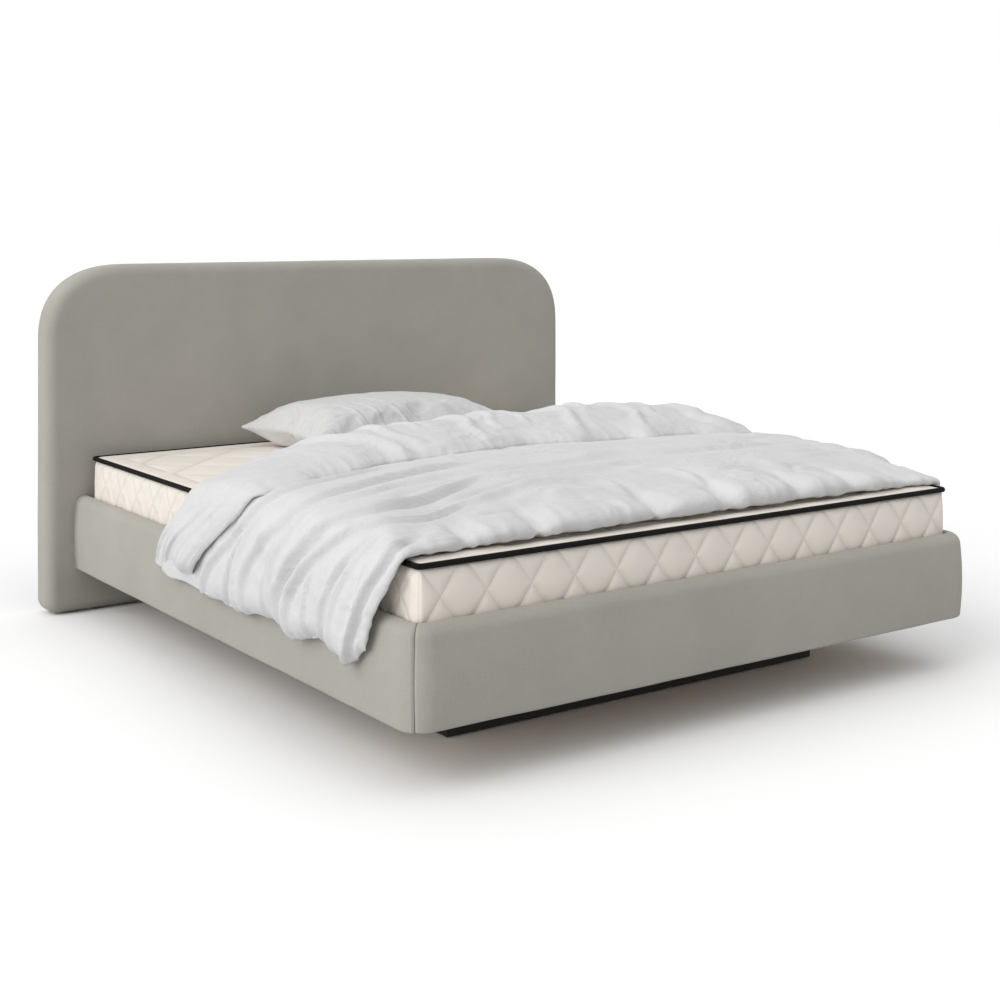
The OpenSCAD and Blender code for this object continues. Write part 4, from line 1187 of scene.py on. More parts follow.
@dataclass
class Mattress:
    """The spring mattress: quilted panels, a border quilted in diamonds and tape on both edges."""

    corner_r: float = 0.020
    edge_line: float = 0.083
    gap_half: float = 0.020
    lattice: Point = (0.2514, 0.2445)
    lattice_y: float = 0.731
    panel_puff: float = 0.0055
    edge_fall: float = 0.012
    diamond: Point = (0.12857, 0.175)
    crossing_z: float = 0.431
    puff: float = 0.0060
    belly: float = 0.002
    mesh_step: float = 0.010
    coarse_step: float = 0.020
    border_step: float = 0.0085
    border_rows: int = 24
    half_w: float = field(init=False)
    foot_y: float = field(init=False)
    head_y: float = field(init=False)
    panel_cloth: Ticking = field(init=False)
    border_cloth: Ticking = Ticking("ivory_quilted_border", "mattress_ticking")

    def build(self) -> None:
        """Makes the panels, the border and the piping, as large as their nodes."""
        low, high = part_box("mattress_top_piping")
        self.half_w, self.foot_y, self.head_y = high.x, low.y, high.y
        middle = (low.y + high.y) / 2
        quilted = (self.half_w - self.edge_line, (high.y - low.y) / 2 - self.edge_line, middle)
        self.panel_cloth = Ticking("ivory_quilted_panel", "mattress_ticking", pitch=self.lattice,
                                   start=(-quilted[0], self.lattice_y), quilted=quilted)
        self.top_panel()
        self.bottom_panel()
        self.border()
        for name, node in (("top", "mattress_top_piping"), ("bottom", "mattress_bottom_piping")):
            self.piping(name, node)

    def outline_distance(self, x: Array, y: Array) -> Array:
        """How far places lie inside the mattress's rounded outline.

        Args:
            x: places across the bed.
            y: places along the bed.

        Returns:
            The distances.
        """
        middle = (self.head_y + self.foot_y) / 2
        half_l = (self.head_y - self.foot_y) / 2
        across = np.abs(x) - (self.half_w - self.corner_r)
        along = np.abs(y - middle) - (half_l - self.corner_r)
        outside = np.hypot(np.maximum(across, 0), np.maximum(along, 0))
        return self.corner_r - outside - np.minimum(np.maximum(across, along), 0)

    def stitches(self, x: Array, y: Array) -> Array:
        """Distance of places on a panel from its nearest stitch line.

        Args:
            x: places across the bed.
            y: places along the bed.

        Returns:
            The distances.
        """
        pitch_x, pitch_y = self.lattice
        reach = self.half_w - self.edge_line
        inside = self.outline_distance(x, y)
        u, v = (x + reach) / pitch_x, (y - self.lattice_y) / pitch_y
        slope = pitch_x * pitch_y / math.hypot(pitch_x, pitch_y)
        first = np.abs((u + v) - np.round(u + v)) * slope
        second = np.abs((u - v) - np.round(u - v)) * slope
        lattice = np.where(inside > self.edge_line, np.minimum(first, second), 1.0)
        apex = np.abs(v - np.round(v)) * pitch_y
        along_side = np.abs(x) > reach - 0.2
        edge = np.abs(inside - self.edge_line)
        edge = np.where(along_side & (apex < self.gap_half), 1.0, edge)
        return np.minimum(lattice, edge)

    def top_panel(self) -> None:
        """Makes the quilted top panel over its rounded edge."""
        low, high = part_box("mattress_top_panel")
        mesh, away, inside = self.panel_grid(low, high, self.mesh_step)
        rise = high.z - low.z
        crown = low.z + (rise - self.panel_puff) * (1 - np.exp(-np.maximum(inside, 0) / self.edge_fall))
        height = crown + self.panel_puff * (1 - np.exp(-away / 0.028)) * np.clip(inside / 0.02, 0, 1)
        for vert, z in zip(mesh.verts, height):
            vert.co.z = z
        mesh.normal_update()
        self.finish_panel(mesh, "top", low.z)

    def bottom_panel(self) -> None:
        """Makes the plainly quilted bottom panel."""
        low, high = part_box("mattress_bottom_panel")
        mesh, away, inside = self.panel_grid(low, high, self.coarse_step)
        sunk = 0.003 * np.exp(-away / 0.02) + 0.004 * np.exp(-np.maximum(inside, 0) / self.edge_fall)
        for vert, depth in zip(mesh.verts, sunk):
            vert.co.z = low.z + depth
        bmesh.ops.reverse_faces(mesh, faces=mesh.faces)
        self.finish_panel(mesh, "bottom", high.z)

    def finish_panel(self, mesh: Mesh, name: str, level: float) -> None:
        """Maps a panel, closes it and makes the piece.

        Args:
            mesh: the panel.
            name: which panel.
            level: height of the flat face that closes it.
        """
        box_map(mesh)
        self.close_at(mesh, level)
        nodes = [f"mattress_{name}_panel", f"mattress_{name}_foam"]
        made = new_object(f"mattress_quilted_{name}", mesh)
        dress(made, self.panel_cloth, "mattress", nodes)

    def panel_grid(self, low: Vector, high: Vector,
                   size: float) -> Tuple[Mesh, Array, Array]:
        """A flat grid cut to the mattress's rounded outline.

        Args:
            low: lowest corner of the panel.
            high: highest corner.
            size: of its faces.

        Returns:
            The grid, and how far its vertices lie from the stitches and inside the outline.
        """
        mesh = bmesh.new()
        across, along = high.x - low.x, high.y - low.y
        bmesh.ops.create_grid(mesh, x_segments=round(across / size), y_segments=round(along / size), size=0.5)
        bmesh.ops.scale(mesh, vec=(across, along, 1), verts=mesh.verts)
        bmesh.ops.translate(mesh, vec=((low.x + high.x) / 2, (low.y + high.y) / 2, low.z), verts=mesh.verts)
        radius = self.corner_r
        for vert in mesh.verts:
            cx = min(max(vert.co.x, low.x + radius), high.x - radius)
            cy = min(max(vert.co.y, low.y + radius), high.y - radius)
            dx, dy = vert.co.x - cx, vert.co.y - cy
            if dx and dy:
                largest = max(abs(dx), abs(dy))
                factor = largest / math.hypot(dx, dy)
                vert.co.x, vert.co.y = cx + dx * factor, cy + dy * factor
        x = np.array([vert.co.x for vert in mesh.verts])
        y = np.array([vert.co.y for vert in mesh.verts])
        return mesh, self.stitches(x, y), self.outline_distance(x, y)

    @staticmethod
    def close_at(mesh: Mesh, level: float) -> None:
        """Draws a sheet's rim to a level and closes it there with a flat face.

        Args:
            mesh: the sheet.
            level: the height.
        """
        rim = [edge for edge in mesh.edges if edge.is_boundary]
        for vert in verts_in(bmesh.ops.extrude_edge_only(mesh, edges=rim)["geom"]):
            vert.co.z = level
            vert.co.x *= 0.999
        fill_holes(mesh)

    def rounded_outline(self, mesh: Mesh, inset: float, level: float, size: float) -> None:
        """Draws the mattress's outline as a closed loop of short edges.

        Args:
            mesh: where it is drawn.
            inset: how far inside the border's outside it runs.
            level: its height.
            size: length of its edges.
        """
        half, radius = self.half_w - inset, self.corner_r - inset
        corners = [(-half, self.foot_y + inset), (half, self.foot_y + inset), (half, self.head_y - inset),
                   (-half, self.head_y - inset)]
        verts = [mesh.verts.new((x, y, level)) for x, y in corners]
        mesh.faces.new(verts)
        rounded(mesh, verts, radius, 12)
        bmesh.ops.delete(mesh, geom=mesh.faces[:], context="FACES_ONLY")
        for edge in mesh.edges[:]:
            cuts = round(edge.calc_length() / size) - 1
            if cuts > 0:
                bmesh.ops.subdivide_edges(mesh, edges=[edge], cuts=cuts, use_grid_fill=False)

    def border(self) -> None:
        """Makes the border, puffed between its diamond stitching."""
        low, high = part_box("mattress_border")
        inset = self.half_w - high.x
        mesh = bmesh.new()
        self.rounded_outline(mesh, inset, low.z, self.border_step)
        drawn_out(mesh, mesh.edges[:], (0, 0, (high.z - low.z) / self.border_rows), self.border_rows)
        bmesh.ops.recalc_face_normals(mesh, faces=mesh.faces)
        mesh.normal_update()
        wide, tall = self.diamond
        slope = wide * tall / math.hypot(wide, tall)
        turn = inset + (self.corner_r - inset) * 0.29
        corner_x = self.half_w - turn
        corner_y = (self.foot_y + turn, self.head_y - turn)
        half_l, middle = (self.head_y - self.foot_y) / 2, (self.head_y + self.foot_y) / 2
        moves = []
        for vert in mesh.verts:
            on_side = abs(vert.co.x) / self.half_w > abs(vert.co.y - middle) / half_l
            run = vert.co.y - middle if on_side else vert.co.x
            u = (run + wide * 0.5) / wide
            v = (vert.co.z - self.crossing_z) / tall
            first, second = u + v, u - v
            away = slope * min(abs(first - round(first)), abs(second - round(second)))
            seam = min(math.hypot(abs(vert.co.x) - corner_x, vert.co.y - place) for place in corner_y)
            level = (vert.co.z - low.z) / (high.z - low.z)
            hold = ease(min(level, 1 - level) / 0.10)
            swell = self.puff * hold * (1 - math.exp(-away / 0.022)) * ease(seam / 0.03)
            swell -= 0.0015 * (1 - ease(seam / 0.004)) + 0.0035 * (1 - hold)
            swell += self.belly * math.sin(math.pi * level)
            moves.append((vert, vert.normal * (swell - self.puff)))
        for vert, move in moves:
            vert.co += move
        box_map(mesh)
        fill_holes(mesh)
        made = new_object("mattress_quilted_border", mesh)
        dress(made, self.border_cloth, "mattress", ["mattress_border"])

    def piping(self, name: str, node: str) -> None:
        """Makes a tape bound round the edge: the outline swept round a small circle.

        Args:
            name: which edge.
            node: the node that it stands for.
        """
        low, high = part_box(node)
        radius, middle, turns = (high.z - low.z) / 2, (low.z + high.z) / 2, 12
        mesh = bmesh.new()
        self.rounded_outline(mesh, radius, middle, 0.012)
        drawn_out(mesh, mesh.edges[:], (0, 0, 1e-3), turns)
        bmesh.ops.recalc_face_normals(mesh, faces=mesh.faces)
        mesh.normal_update()
        places = []
        for vert in mesh.verts:
            angle = 2 * math.pi * round((vert.co.z - middle) / 1e-3) / turns
            outward = Vector((vert.normal.x, vert.normal.y, 0)).normalized()
            places.append(vert.co + outward * (math.cos(angle) * radius))
            places[-1].z = middle + math.sin(angle) * radius
        for vert, place in zip(mesh.verts, places):
            vert.co = place
        joined(mesh)
        box_map(mesh)
        dress(new_object(f"mattress_{name}_bound_edge", mesh), PIPING, "mattress", [node], 1)


# Loose bedding


@dataclass(frozen=True)
class Cloth:
    """Blender's cloth simulation of a stuffed cover, which swells by pressure alone."""

    frames: int
    pressure: float
    bend: float
    limit: float
    quality: int = 5
    mass: float = 0.3
    stretch: float = 15.0
    shear: float = 4.5
    damping: float = 2.0

    def run(self, made: bpy.types.Object, centre: Array, loose: Sequence[float],
            pinned: Optional[Array] = None) -> None:
        """Simulates an object's mesh and keeps where it ends.

        Args:
            made: the object, its mesh in the shape that it starts from.
            centre: the place round which its cloth is cut larger than that shape.
            loose: how much larger, along each axis.
            pinned: how firmly each vertex is held, from 0 to 1.
        """
        start = places_of(made.data)
        rest = centre + (start - centre) * np.array(loose)
        made.shape_key_add(name="Basis")
        shape = made.shape_key_add(name="cut")
        shape.data.foreach_set("co", rest.ravel())
        modifier = made.modifiers.new("cloth", "CLOTH")
        self.set_up(modifier.settings)
        modifier.settings.rest_shape_key = shape
        if pinned is not None:
            self.hold(made, modifier.settings, pinned)
        modifier.collision_settings.use_collision = False
        modifier.point_cache.frame_start = 1
        modifier.point_cache.frame_end = self.frames
        scene = bpy.context.scene
        for number in range(1, self.frames + 1):
            scene.frame_set(number)
        seen = made.evaluated_get(bpy.context.evaluated_depsgraph_get())
        move = places_of(seen.data) - start
        scene.frame_set(1)
        made.modifiers.remove(modifier)
        made.shape_key_clear()
        made.vertex_groups.clear()
        length = np.linalg.norm(move, axis=1, keepdims=True)
        move *= self.limit * np.tanh(length / self.limit) / np.maximum(length, 1e-9)
        move_to(made.data, start + move)
        log.info("%s: %d frames, furthest move %.1f mm", made.name, self.frames, length.max() * 1000)

    def set_up(self, settings: bpy.types.ClothSettings) -> None:
        """Sets what the cloth is like.

        Args:
            settings: those of the modifier.
        """
        settings.quality = self.quality
        settings.mass = self.mass
        settings.tension_stiffness = settings.compression_stiffness = self.stretch
        settings.shear_stiffness = self.shear
        settings.bending_stiffness = self.bend
        settings.air_damping = self.damping
        settings.effector_weights.gravity = 0.0
        settings.use_pressure = True
        settings.uniform_pressure_force = self.pressure

    @staticmethod
    def hold(made: bpy.types.Object, settings: bpy.types.ClothSettings, pinned: Array) -> None:
        """Holds the vertices that lie hidden.

        Args:
            made: the object.
            settings: those of the modifier.
            pinned: how firmly each vertex is held, from 0 to 1.
        """
        group = made.vertex_groups.new(name="held")
        levels = np.round(pinned, 2)
        for level in np.unique(levels[levels > 0]):
            group.add(np.nonzero(levels == level)[0].tolist(), float(level), "REPLACE")
        settings.vertex_group_mass = group.name
        settings.pin_stiffness = 1.0


def wrapped_grid(around: int, along: int) -> Mesh:
    """A flat grid, a unit wide and long round zero, whose map runs from 0 to 1.

    Args:
        around: how many faces it has one way, round the section.
        along: how many the other way.

    Returns:
        The grid.
    """
    mesh = bmesh.new()
    mesh.loops.layers.uv.verify()
    bmesh.ops.create_grid(mesh, x_segments=around, y_segments=along, size=0.5, calc_uvs=True)
    return mesh


@dataclass(frozen=True)
class Crease:
    """A long fold pressed into a cover: a ridge with a hollow beside it, all hollow at the foot edge."""

    path: Tuple[Point, ...]
    width: float
    depth: float
    side: float = 1.0

    def height(self, across: Array, along: Array) -> Array:
        """How far the crease lifts each place of the cloth.

        Args:
            across: places across the bed, along the cloth.
            along: places along the bed, along the cloth.

        Returns:
            The lift at each place.
        """
        points = smooth_line(self.path, 6 * len(self.path))
        reach = self.width * 4.5
        near = ((across > points[:, 0].min() - reach) & (across < points[:, 0].max() + reach)
                & (along > points[:, 1].min() - reach) & (along < points[:, 1].max() + reach))
        u, v = across[near], along[near]
        best, signed, share = np.full(u.shape, 9.0), np.zeros(u.shape), np.zeros(u.shape)
        for number, (start, end) in enumerate(zip(points[:-1], points[1:])):
            run = end - start
            part = np.clip(((u - start[0]) * run[0] + (v - start[1]) * run[1]) / float(run @ run), 0, 1)
            dx, dy = u - start[0] - part * run[0], v - start[1] - part * run[1]
            away = np.hypot(dx, dy)
            closer = away < best
            best = np.where(closer, away, best)
            signed = np.where(closer, away * np.sign(run[0] * dy - run[1] * dx), signed)
            share = np.where(closer, (number + part) / (len(points) - 1), share)
        fade = eased(np.minimum(share, 1 - share) * 4.5)
        edge = np.clip((-0.83 - v) / 0.09, 0, 1) * np.clip((0.9 - np.abs(u)) / 0.05, 0, 1)
        t = signed * self.side / (self.width * (0.75 + 0.5 * share))
        lift = np.zeros(across.shape)
        lift[near] = self.depth * fade * (np.exp(-t * t) * (1 - edge)
                                          - 0.9 * np.exp(-(t - 1.5 * (1 - edge)) ** 2 / 0.6)
                                          - 0.25 * (1 - edge) * np.exp(-(t + 1.8) ** 2 / 1.2))
        return lift


def wrinkled(first: Array, second: Array, seed: float, sharp: float = 3.2) -> Array:
    """Sharp little ridges that wander across a cloth.

    Args:
        first: places one way, stretched as the wrinkles should be.
        second: places the other way.
        seed: which pattern.
        sharp: how narrow they are.

    Returns:
        Heights from 0 to 1.
    """
    return np.clip(1 - np.abs(noise_at(first, second, seed)) * sharp, 0, 1) ** 1.5


def refined(made: bpy.types.Object, levels: int = 1) -> Tuple[Array, Array]:
    """Subdivides an object's mesh for good.

    Args:
        made: the object.
        levels: how often.

    Returns:
        The places of its new vertices, and their normals.
    """
    smooth = made.modifiers.new("refine", "SUBSURF")
    smooth.levels = smooth.render_levels = levels
    seen = made.evaluated_get(bpy.context.evaluated_depsgraph_get())
    fine = bpy.data.meshes.new_from_object(seen)
    made.modifiers.clear()
    made.data = fine
    normals = np.empty(len(fine.vertices) * 3)
    fine.vertex_normals.foreach_get("vector", normals)
    return places_of(fine), normals.reshape(-1, 3)


@dataclass
class Pillow:
    """A soft pillow that lies on the mattress, half sunk into itself."""

    width: float = 0.80
    length: float = 0.55
    cells: int = 44
    loose: Point3 = (1.07, 1.07, 1.0)
    seam_lift: float = 0.066
    low: Vector = field(init=False)
    high: Vector = field(init=False)
    creases: Tuple[Crease, ...] = (
        Crease(((-0.20, -0.10), (-0.25, -0.10), (-0.29, -0.08), (-0.335, -0.09), (-0.375, -0.14),
                (-0.398, -0.19)), 0.0068, 0.0047),
        Crease(((-0.29, 0.09), (-0.33, 0.05), (-0.372, 0.01), (-0.398, -0.04)), 0.0068, 0.0043),
        Crease(((-0.28, 0.0), (-0.325, -0.02), (-0.36, -0.035), (-0.39, -0.075), (-0.40, -0.13)),
               0.0054, 0.0043),
        Crease(((-0.24, -0.17), (-0.28, -0.165), (-0.33, -0.15), (-0.37, -0.18), (-0.398, -0.22)),
               0.0061, 0.0043),
        Crease(((-0.26, -0.262), (-0.30, -0.255), (-0.347, -0.225), (-0.39, -0.235)), 0.0054, 0.0043),
        Crease(((-0.24, -0.03), (-0.21, -0.11), (-0.196, -0.20), (-0.155, -0.268)), 0.0068, 0.0036),
        Crease(((-0.17, -0.03), (-0.147, -0.11), (-0.125, -0.20), (-0.085, -0.265)), 0.0068, 0.0036),
        Crease(((-0.12, 0.0), (-0.08, -0.09), (-0.044, -0.18), (-0.01, -0.26)), 0.0075, 0.0036),
        Crease(((-0.11, -0.09), (-0.053, -0.17), (-0.006, -0.23), (0.045, -0.268)), 0.0061, 0.0032),
        Crease(((-0.03, -0.13), (0.019, -0.19), (0.067, -0.245), (0.12, -0.268)), 0.0068, 0.0032),
        Crease(((-0.22, -0.17), (-0.201, -0.215), (-0.182, -0.25), (-0.168, -0.268)), 0.0054, 0.0036),
        Crease(((0.10, -0.10), (0.18, -0.17), (0.25, -0.25)), 0.0082, 0.0029),
        Crease(((0.20, -0.05), (0.29, -0.10), (0.38, -0.12)), 0.0075, 0.0036),
        Crease(((0.24, 0.05), (0.32, 0.02), (0.39, 0.04)), 0.0068, 0.0036),
        Crease(((-0.22, 0.14), (-0.28, 0.19), (-0.33, 0.25)), 0.0068, 0.0029),
        Crease(((0.10, 0.15), (0.16, 0.21), (0.18, 0.26)), 0.0075, 0.0029),
        Crease(((-0.05, 0.17), (-0.03, 0.22), (-0.06, 0.265)), 0.0068, 0.0029),
        Crease(((0.29, 0.16), (0.34, 0.20), (0.38, 0.24)), 0.0068, 0.0029),
    )

    def build(self) -> None:
        """Makes the pillow."""
        low, high = self.low, self.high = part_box("pillow")
        centre = (low + high) / 2
        around, along = self.cells * 2, self.cells
        mesh = wrapped_grid(around, along)
        layer = mesh.loops.layers.uv.verify()
        for face in mesh.faces:
            for corner in face.loops:
                corner[layer].uv = (corner[layer].uv.x * self.width * 2, corner[layer].uv.y * self.length)
        seam = low.z + self.seam_lift
        for vert in mesh.verts:
            turn = (vert.co.x + 0.5) * 2
            upper = turn <= 1
            u = (turn * 2 - 1) if upper else (3 - turn * 2)
            v = vert.co.y * 2
            u, v = math.sin(u * math.pi / 2) * 0.4 + u * 0.6, math.sin(v * math.pi / 2) * 0.4 + v * 0.6
            fill = ((1 - u * u) * (1 - v * v)) ** 0.5
            x = centre.x + self.width / 2 * u * (1 - 0.05 * (1 - v * v))
            y = centre.y + self.length / 2 * v * (1 - 0.05 * (1 - u * u))
            rise = 0.095 * fill if upper else -0.055 * fill
            fold = noise.noise(Vector((x * 6 - y * 5, y * 2.4 + x * 2.2, 0.3))) * 0.006
            vert.co = (x, y, seam + rise + fold * fill)
        joined(mesh, 2e-4)
        dress(self.stuffed(mesh), PILLOW_LINEN, "pillow", ["pillow"])

    def stuffed(self, mesh: Mesh) -> bpy.types.Object:
        """Swells the case by simulation, settles it on the mattress and creases it.

        Args:
            mesh: the case, which is freed.

        Returns:
            The object.
        """
        low, high = self.low, self.high
        made = new_object("pillow_in_case", mesh)
        cloth = Cloth(frames=22, pressure=3.0, bend=0.8, limit=0.06)
        cloth.run(made, places_of(made.data).mean(axis=0), self.loose)
        self.settle(made.data)
        places, normals = refined(made, 2)
        across, along = places[:, 0] - (low.x + high.x) / 2, places[:, 1] - (low.y + high.y) / 2
        lift = sum(crease.height(across, along) for crease in self.creases)
        lift += wrinkled(across * 9 + along * 6, along * 17 - across * 6, 21.0) * 0.0016
        lift += (wrinkled(across * 5, along * 26, 24.0, 2.4)
                 * np.exp((np.abs(across) - self.width / 2) / 0.09) * 0.0032)
        lift += (wrinkled(across * 25 - along * 8, along * 6, 27.0, 2.4)
                 * np.exp((np.abs(along) - self.length / 2) / 0.07) * 0.0030)
        lift = lift * np.clip((places[:, 2] - low.z - self.seam_lift + 0.03) / 0.02, 0, 1)
        move_to(made.data, places + normals * lift[:, None])
        return made

    def settle(self, data: bpy.types.Mesh) -> None:
        """Rests the pillow in its place: flat below, crowned above, its corners low.

        Args:
            data: its mesh.
        """
        low, high = self.low, self.high
        places = places_of(data)
        least, most = places.min(axis=0), places.max(axis=0)
        for axis in (0, 1):
            share = (places[:, axis] - least[axis]) * (high[axis] - low[axis]) / (most[axis] - least[axis])
            places[:, axis] = low[axis] + share
        middle = low.z + self.seam_lift
        above = places[:, 2] - middle
        tallest = above.max()
        room = high.z - middle - 0.004
        above = np.where(above > 0, above * room / tallest, above * 0.9)
        floor = low.z + 0.0015
        edge = np.maximum(np.abs(places[:, 0] - (low.x + high.x) / 2) / ((high.x - low.x) / 2),
                          np.abs(places[:, 1] - (low.y + high.y) / 2) / ((high.y - low.y) / 2))
        level = middle + above - 0.004 * np.clip(edge, 0, 1) ** 3
        places[:, 2] = floor + 0.006 * np.log1p(np.exp((level - floor) / 0.006))
        move_to(data, places)


@dataclass
class Duvet:
    """A lofty duvet across the bed, hanging over both sides, its head end folded back as a cuff."""

    lie_z: float = 0.5143
    shoulder_x: float = 0.903
    hang_x: float = 0.952
    hang_z: float = 0.380
    hem_l: float = 0.108
    slim: float = 0.42
    stations: int = 160
    hidden_rows: int = 16
    cuff_rows: int = 44
    main_rows: int = 78
    seen_to: float = 0.05
    foot_y: float = -0.985
    free_y: float = -0.285
    fold_y: float = 0.18
    cuff_length: float = 0.465
    slope_l: float = field(init=False)
    half_l: float = field(init=False)
    loose: Point3 = (1.035, 1.07, 1.0)
    under: Tuple[Point, ...] = (
        (-0.985, 0.012), (-0.962, 0.002), (-0.90, 0.0), (-0.6, 0.0), (-0.3, 0.0), (0.0, 0.0), (0.10, 0.0),
        (0.155, 0.012), (0.180, 0.050), (0.172, 0.090), (0.140, 0.120), (0.08, 0.137), (0.0, 0.141),
        (-0.10, 0.137), (-0.20, 0.126), (-0.262, 0.106), (-0.285, 0.085))
    over: Tuple[Point, ...] = (
        (-0.985, 0.012), (-0.998, 0.030), (-0.985, 0.052), (-0.94, 0.069), (-0.86, 0.080), (-0.75, 0.086),
        (-0.6, 0.088), (-0.4, 0.086), (-0.285, 0.080), (-0.2, 0.077), (-0.1, 0.068), (0.0, 0.062),
        (0.10, 0.058), (0.124, 0.063), (0.129, 0.068), (0.124, 0.072), (0.10, 0.073), (0.0, 0.075),
        (-0.1, 0.078), (-0.2, 0.080), (-0.262, 0.081), (-0.285, 0.085))
    fold_shift: Tuple[Point, ...] = (
        (-1.154, 0.095), (-1.076, 0.05), (-1.025, 0.005), (-0.961, -0.045), (-0.903, -0.06), (-0.82, -0.06),
        (-0.70, -0.035), (-0.5, -0.01), (-0.2, 0.0), (0.9, 0.02), (1.154, 0.06))
    free_shift: Tuple[Point, ...] = (
        (-1.154, 0.285), (-1.05, 0.165), (-0.985, 0.075), (-0.93, 0.0), (-0.88, -0.035), (-0.79, -0.052),
        (-0.745, 0.0), (-0.70, 0.012), (-0.62, 0.02), (-0.49, 0.065), (-0.28, 0.05), (-0.10, 0.085),
        (0.04, 0.12), (0.2, 0.06), (0.30, 0.085), (0.41, 0.085), (0.47, 0.03), (0.58, 0.085),
        (0.70, 0.095), (0.81, 0.06), (0.93, 0.075), (1.154, 0.28))
    fold_plump: Tuple[Point, ...] = (
        (-1.154, 0.10), (-1.06, 0.17), (-0.98, 0.24), (-0.903, 0.29), (-0.82, 0.42), (-0.75, 0.56),
        (-0.68, 0.70), (-0.60, 0.82), (-0.44, 0.86), (-0.35, 0.97), (-0.22, 1.03), (-0.135, 0.94),
        (0.064, 1.18), (0.22, 0.99), (0.41, 1.08), (0.525, 0.98), (0.70, 1.0), (0.835, 1.0),
        (0.92, 0.75), (1.046, 0.42), (1.154, 0.33))
    hem_lift: Tuple[Point, ...] = (
        (-0.985, 0.032), (-0.955, 0.004), (-0.92, -0.016), (-0.84, 0.015), (-0.74, 0.020),
        (-0.614, -0.010), (-0.50, 0.014), (-0.40, 0.015), (-0.313, -0.010), (-0.20, 0.006),
        (-0.10, -0.004), (0.03, 0.010), (0.085, 0.002), (0.238, 0.036))
    pinches: Tuple[float, ...] = (-0.735, -0.525, -0.145, 0.086, 0.355, 0.565, 0.78)
    creases: Tuple[Crease, ...] = (
        Crease(((-0.30, -0.45), (-0.60, -0.50), (-0.80, -0.55), (-0.90, -0.52), (-0.98, -0.42),
                (-1.07, -0.36), (-1.25, -0.34)), 0.012, 0.015),
        Crease(((-0.45, -0.66), (-0.68, -0.74), (-0.83, -0.76), (-0.92, -0.69), (-1.0, -0.60), (-1.08, -0.54),
                (-1.25, -0.55)), 0.012, 0.016),
        Crease(((-0.58, -0.80), (-0.80, -0.86), (-0.91, -0.79), (-1.0, -0.67), (-1.07, -0.61),
                (-1.25, -0.62)), 0.011, 0.014),
        Crease(((-0.76, -0.92), (-0.905, -0.965), (-1.0, -0.945), (-1.08, -0.93), (-1.25, -0.92)),
               0.012, 0.014),
        Crease(((-0.90, -0.87), (-1.02, -0.81), (-1.10, -0.79), (-1.25, -0.79)), 0.011, 0.011),
        Crease(((-0.94, -0.32), (-1.05, -0.26), (-1.25, -0.22)), 0.011, 0.011),
        Crease(((-0.50, -0.30), (-0.74, -0.36), (-0.90, -0.34), (-1.0, -0.22), (-1.10, -0.12),
                (-1.25, -0.08)), 0.011, 0.012),
        Crease(((-0.62, -0.58), (-0.80, -0.64), (-0.92, -0.58), (-1.02, -0.50), (-1.12, -0.50),
                (-1.25, -0.50)), 0.010, 0.011, -1),
        Crease(((-0.86, -0.44), (-0.97, -0.34), (-1.06, -0.29), (-1.25, -0.28)), 0.010, 0.010, -1),
        Crease(((-0.84, -0.90), (-0.95, -0.88), (-1.04, -0.85), (-1.25, -0.86)), 0.010, 0.011, -1),
        Crease(((-0.88, -0.72), (-0.98, -0.62), (-1.05, -0.58), (-1.25, -0.585)), 0.008, 0.006, -1),
        Crease(((-0.95, -0.52), (-1.04, -0.47), (-1.25, -0.45)), 0.009, 0.006),
        Crease(((-0.96, -0.74), (-1.06, -0.70), (-1.25, -0.70)), 0.009, 0.006),
        Crease(((-0.66, -0.36), (-0.30, -0.42), (0.05, -0.40), (0.45, -0.46)), 0.026, 0.005),
        Crease(((-0.78, -0.62), (-0.50, -0.585), (-0.20, -0.60), (0.10, -0.55)), 0.020, 0.006, -1),
        Crease(((-0.90, -0.80), (-0.64, -0.70), (-0.42, -0.67), (-0.15, -0.69), (0.14, -0.66)), 0.020, 0.007),
        Crease(((-0.68, -0.83), (-0.50, -0.79), (-0.34, -0.77), (-0.20, -0.80), (-0.15, -0.90),
                (-0.145, -1.02)), 0.020, 0.012),
        Crease(((-0.64, -0.88), (-0.55, -0.90), (-0.52, -0.95), (-0.525, -1.02)), 0.015, 0.012, -1),
        Crease(((-0.50, -0.90), (-0.40, -0.90), (-0.30, -0.92), (-0.24, -1.00)), 0.020, 0.008),
        Crease(((-0.22, -0.84), (-0.17, -0.90), (-0.145, -1.02)), 0.012, 0.009, -1),
        Crease(((0.66, -0.60), (0.32, -0.62), (0.05, -0.57), (-0.25, -0.52)), 0.026, 0.009),
        Crease(((-0.08, -0.71), (0.05, -0.78), (0.10, -0.87), (0.09, -1.00)), 0.018, 0.009),
        Crease(((0.18, -0.88), (0.30, -0.86), (0.36, -0.90), (0.355, -1.02)), 0.016, 0.008),
        Crease(((0.40, -0.93), (0.50, -0.86), (0.57, -0.90), (0.565, -1.02)), 0.015, 0.008),
        Crease(((0.20, -0.68), (0.36, -0.76), (0.48, -0.86)), 0.026, 0.006),
        Crease(((0.76, -0.43), (0.55, -0.52), (0.26, -0.51)), 0.026, 0.007, -1),
        Crease(((0.56, -0.76), (0.75, -0.74), (0.90, -0.78), (1.05, -0.80), (1.25, -0.78)), 0.020, 0.008),
        Crease(((0.56, -0.38), (0.80, -0.46), (0.95, -0.50), (1.25, -0.50)), 0.022, 0.009),
        Crease(((0.80, -0.60), (1.0, -0.66), (1.25, -0.64)), 0.018, 0.009),
        Crease(((0.84, -0.23), (1.0, -0.30), (1.25, -0.28)), 0.018, 0.009),
        Crease(((0.90, -0.92), (1.05, -0.93), (1.25, -0.90)), 0.017, 0.008),
    )
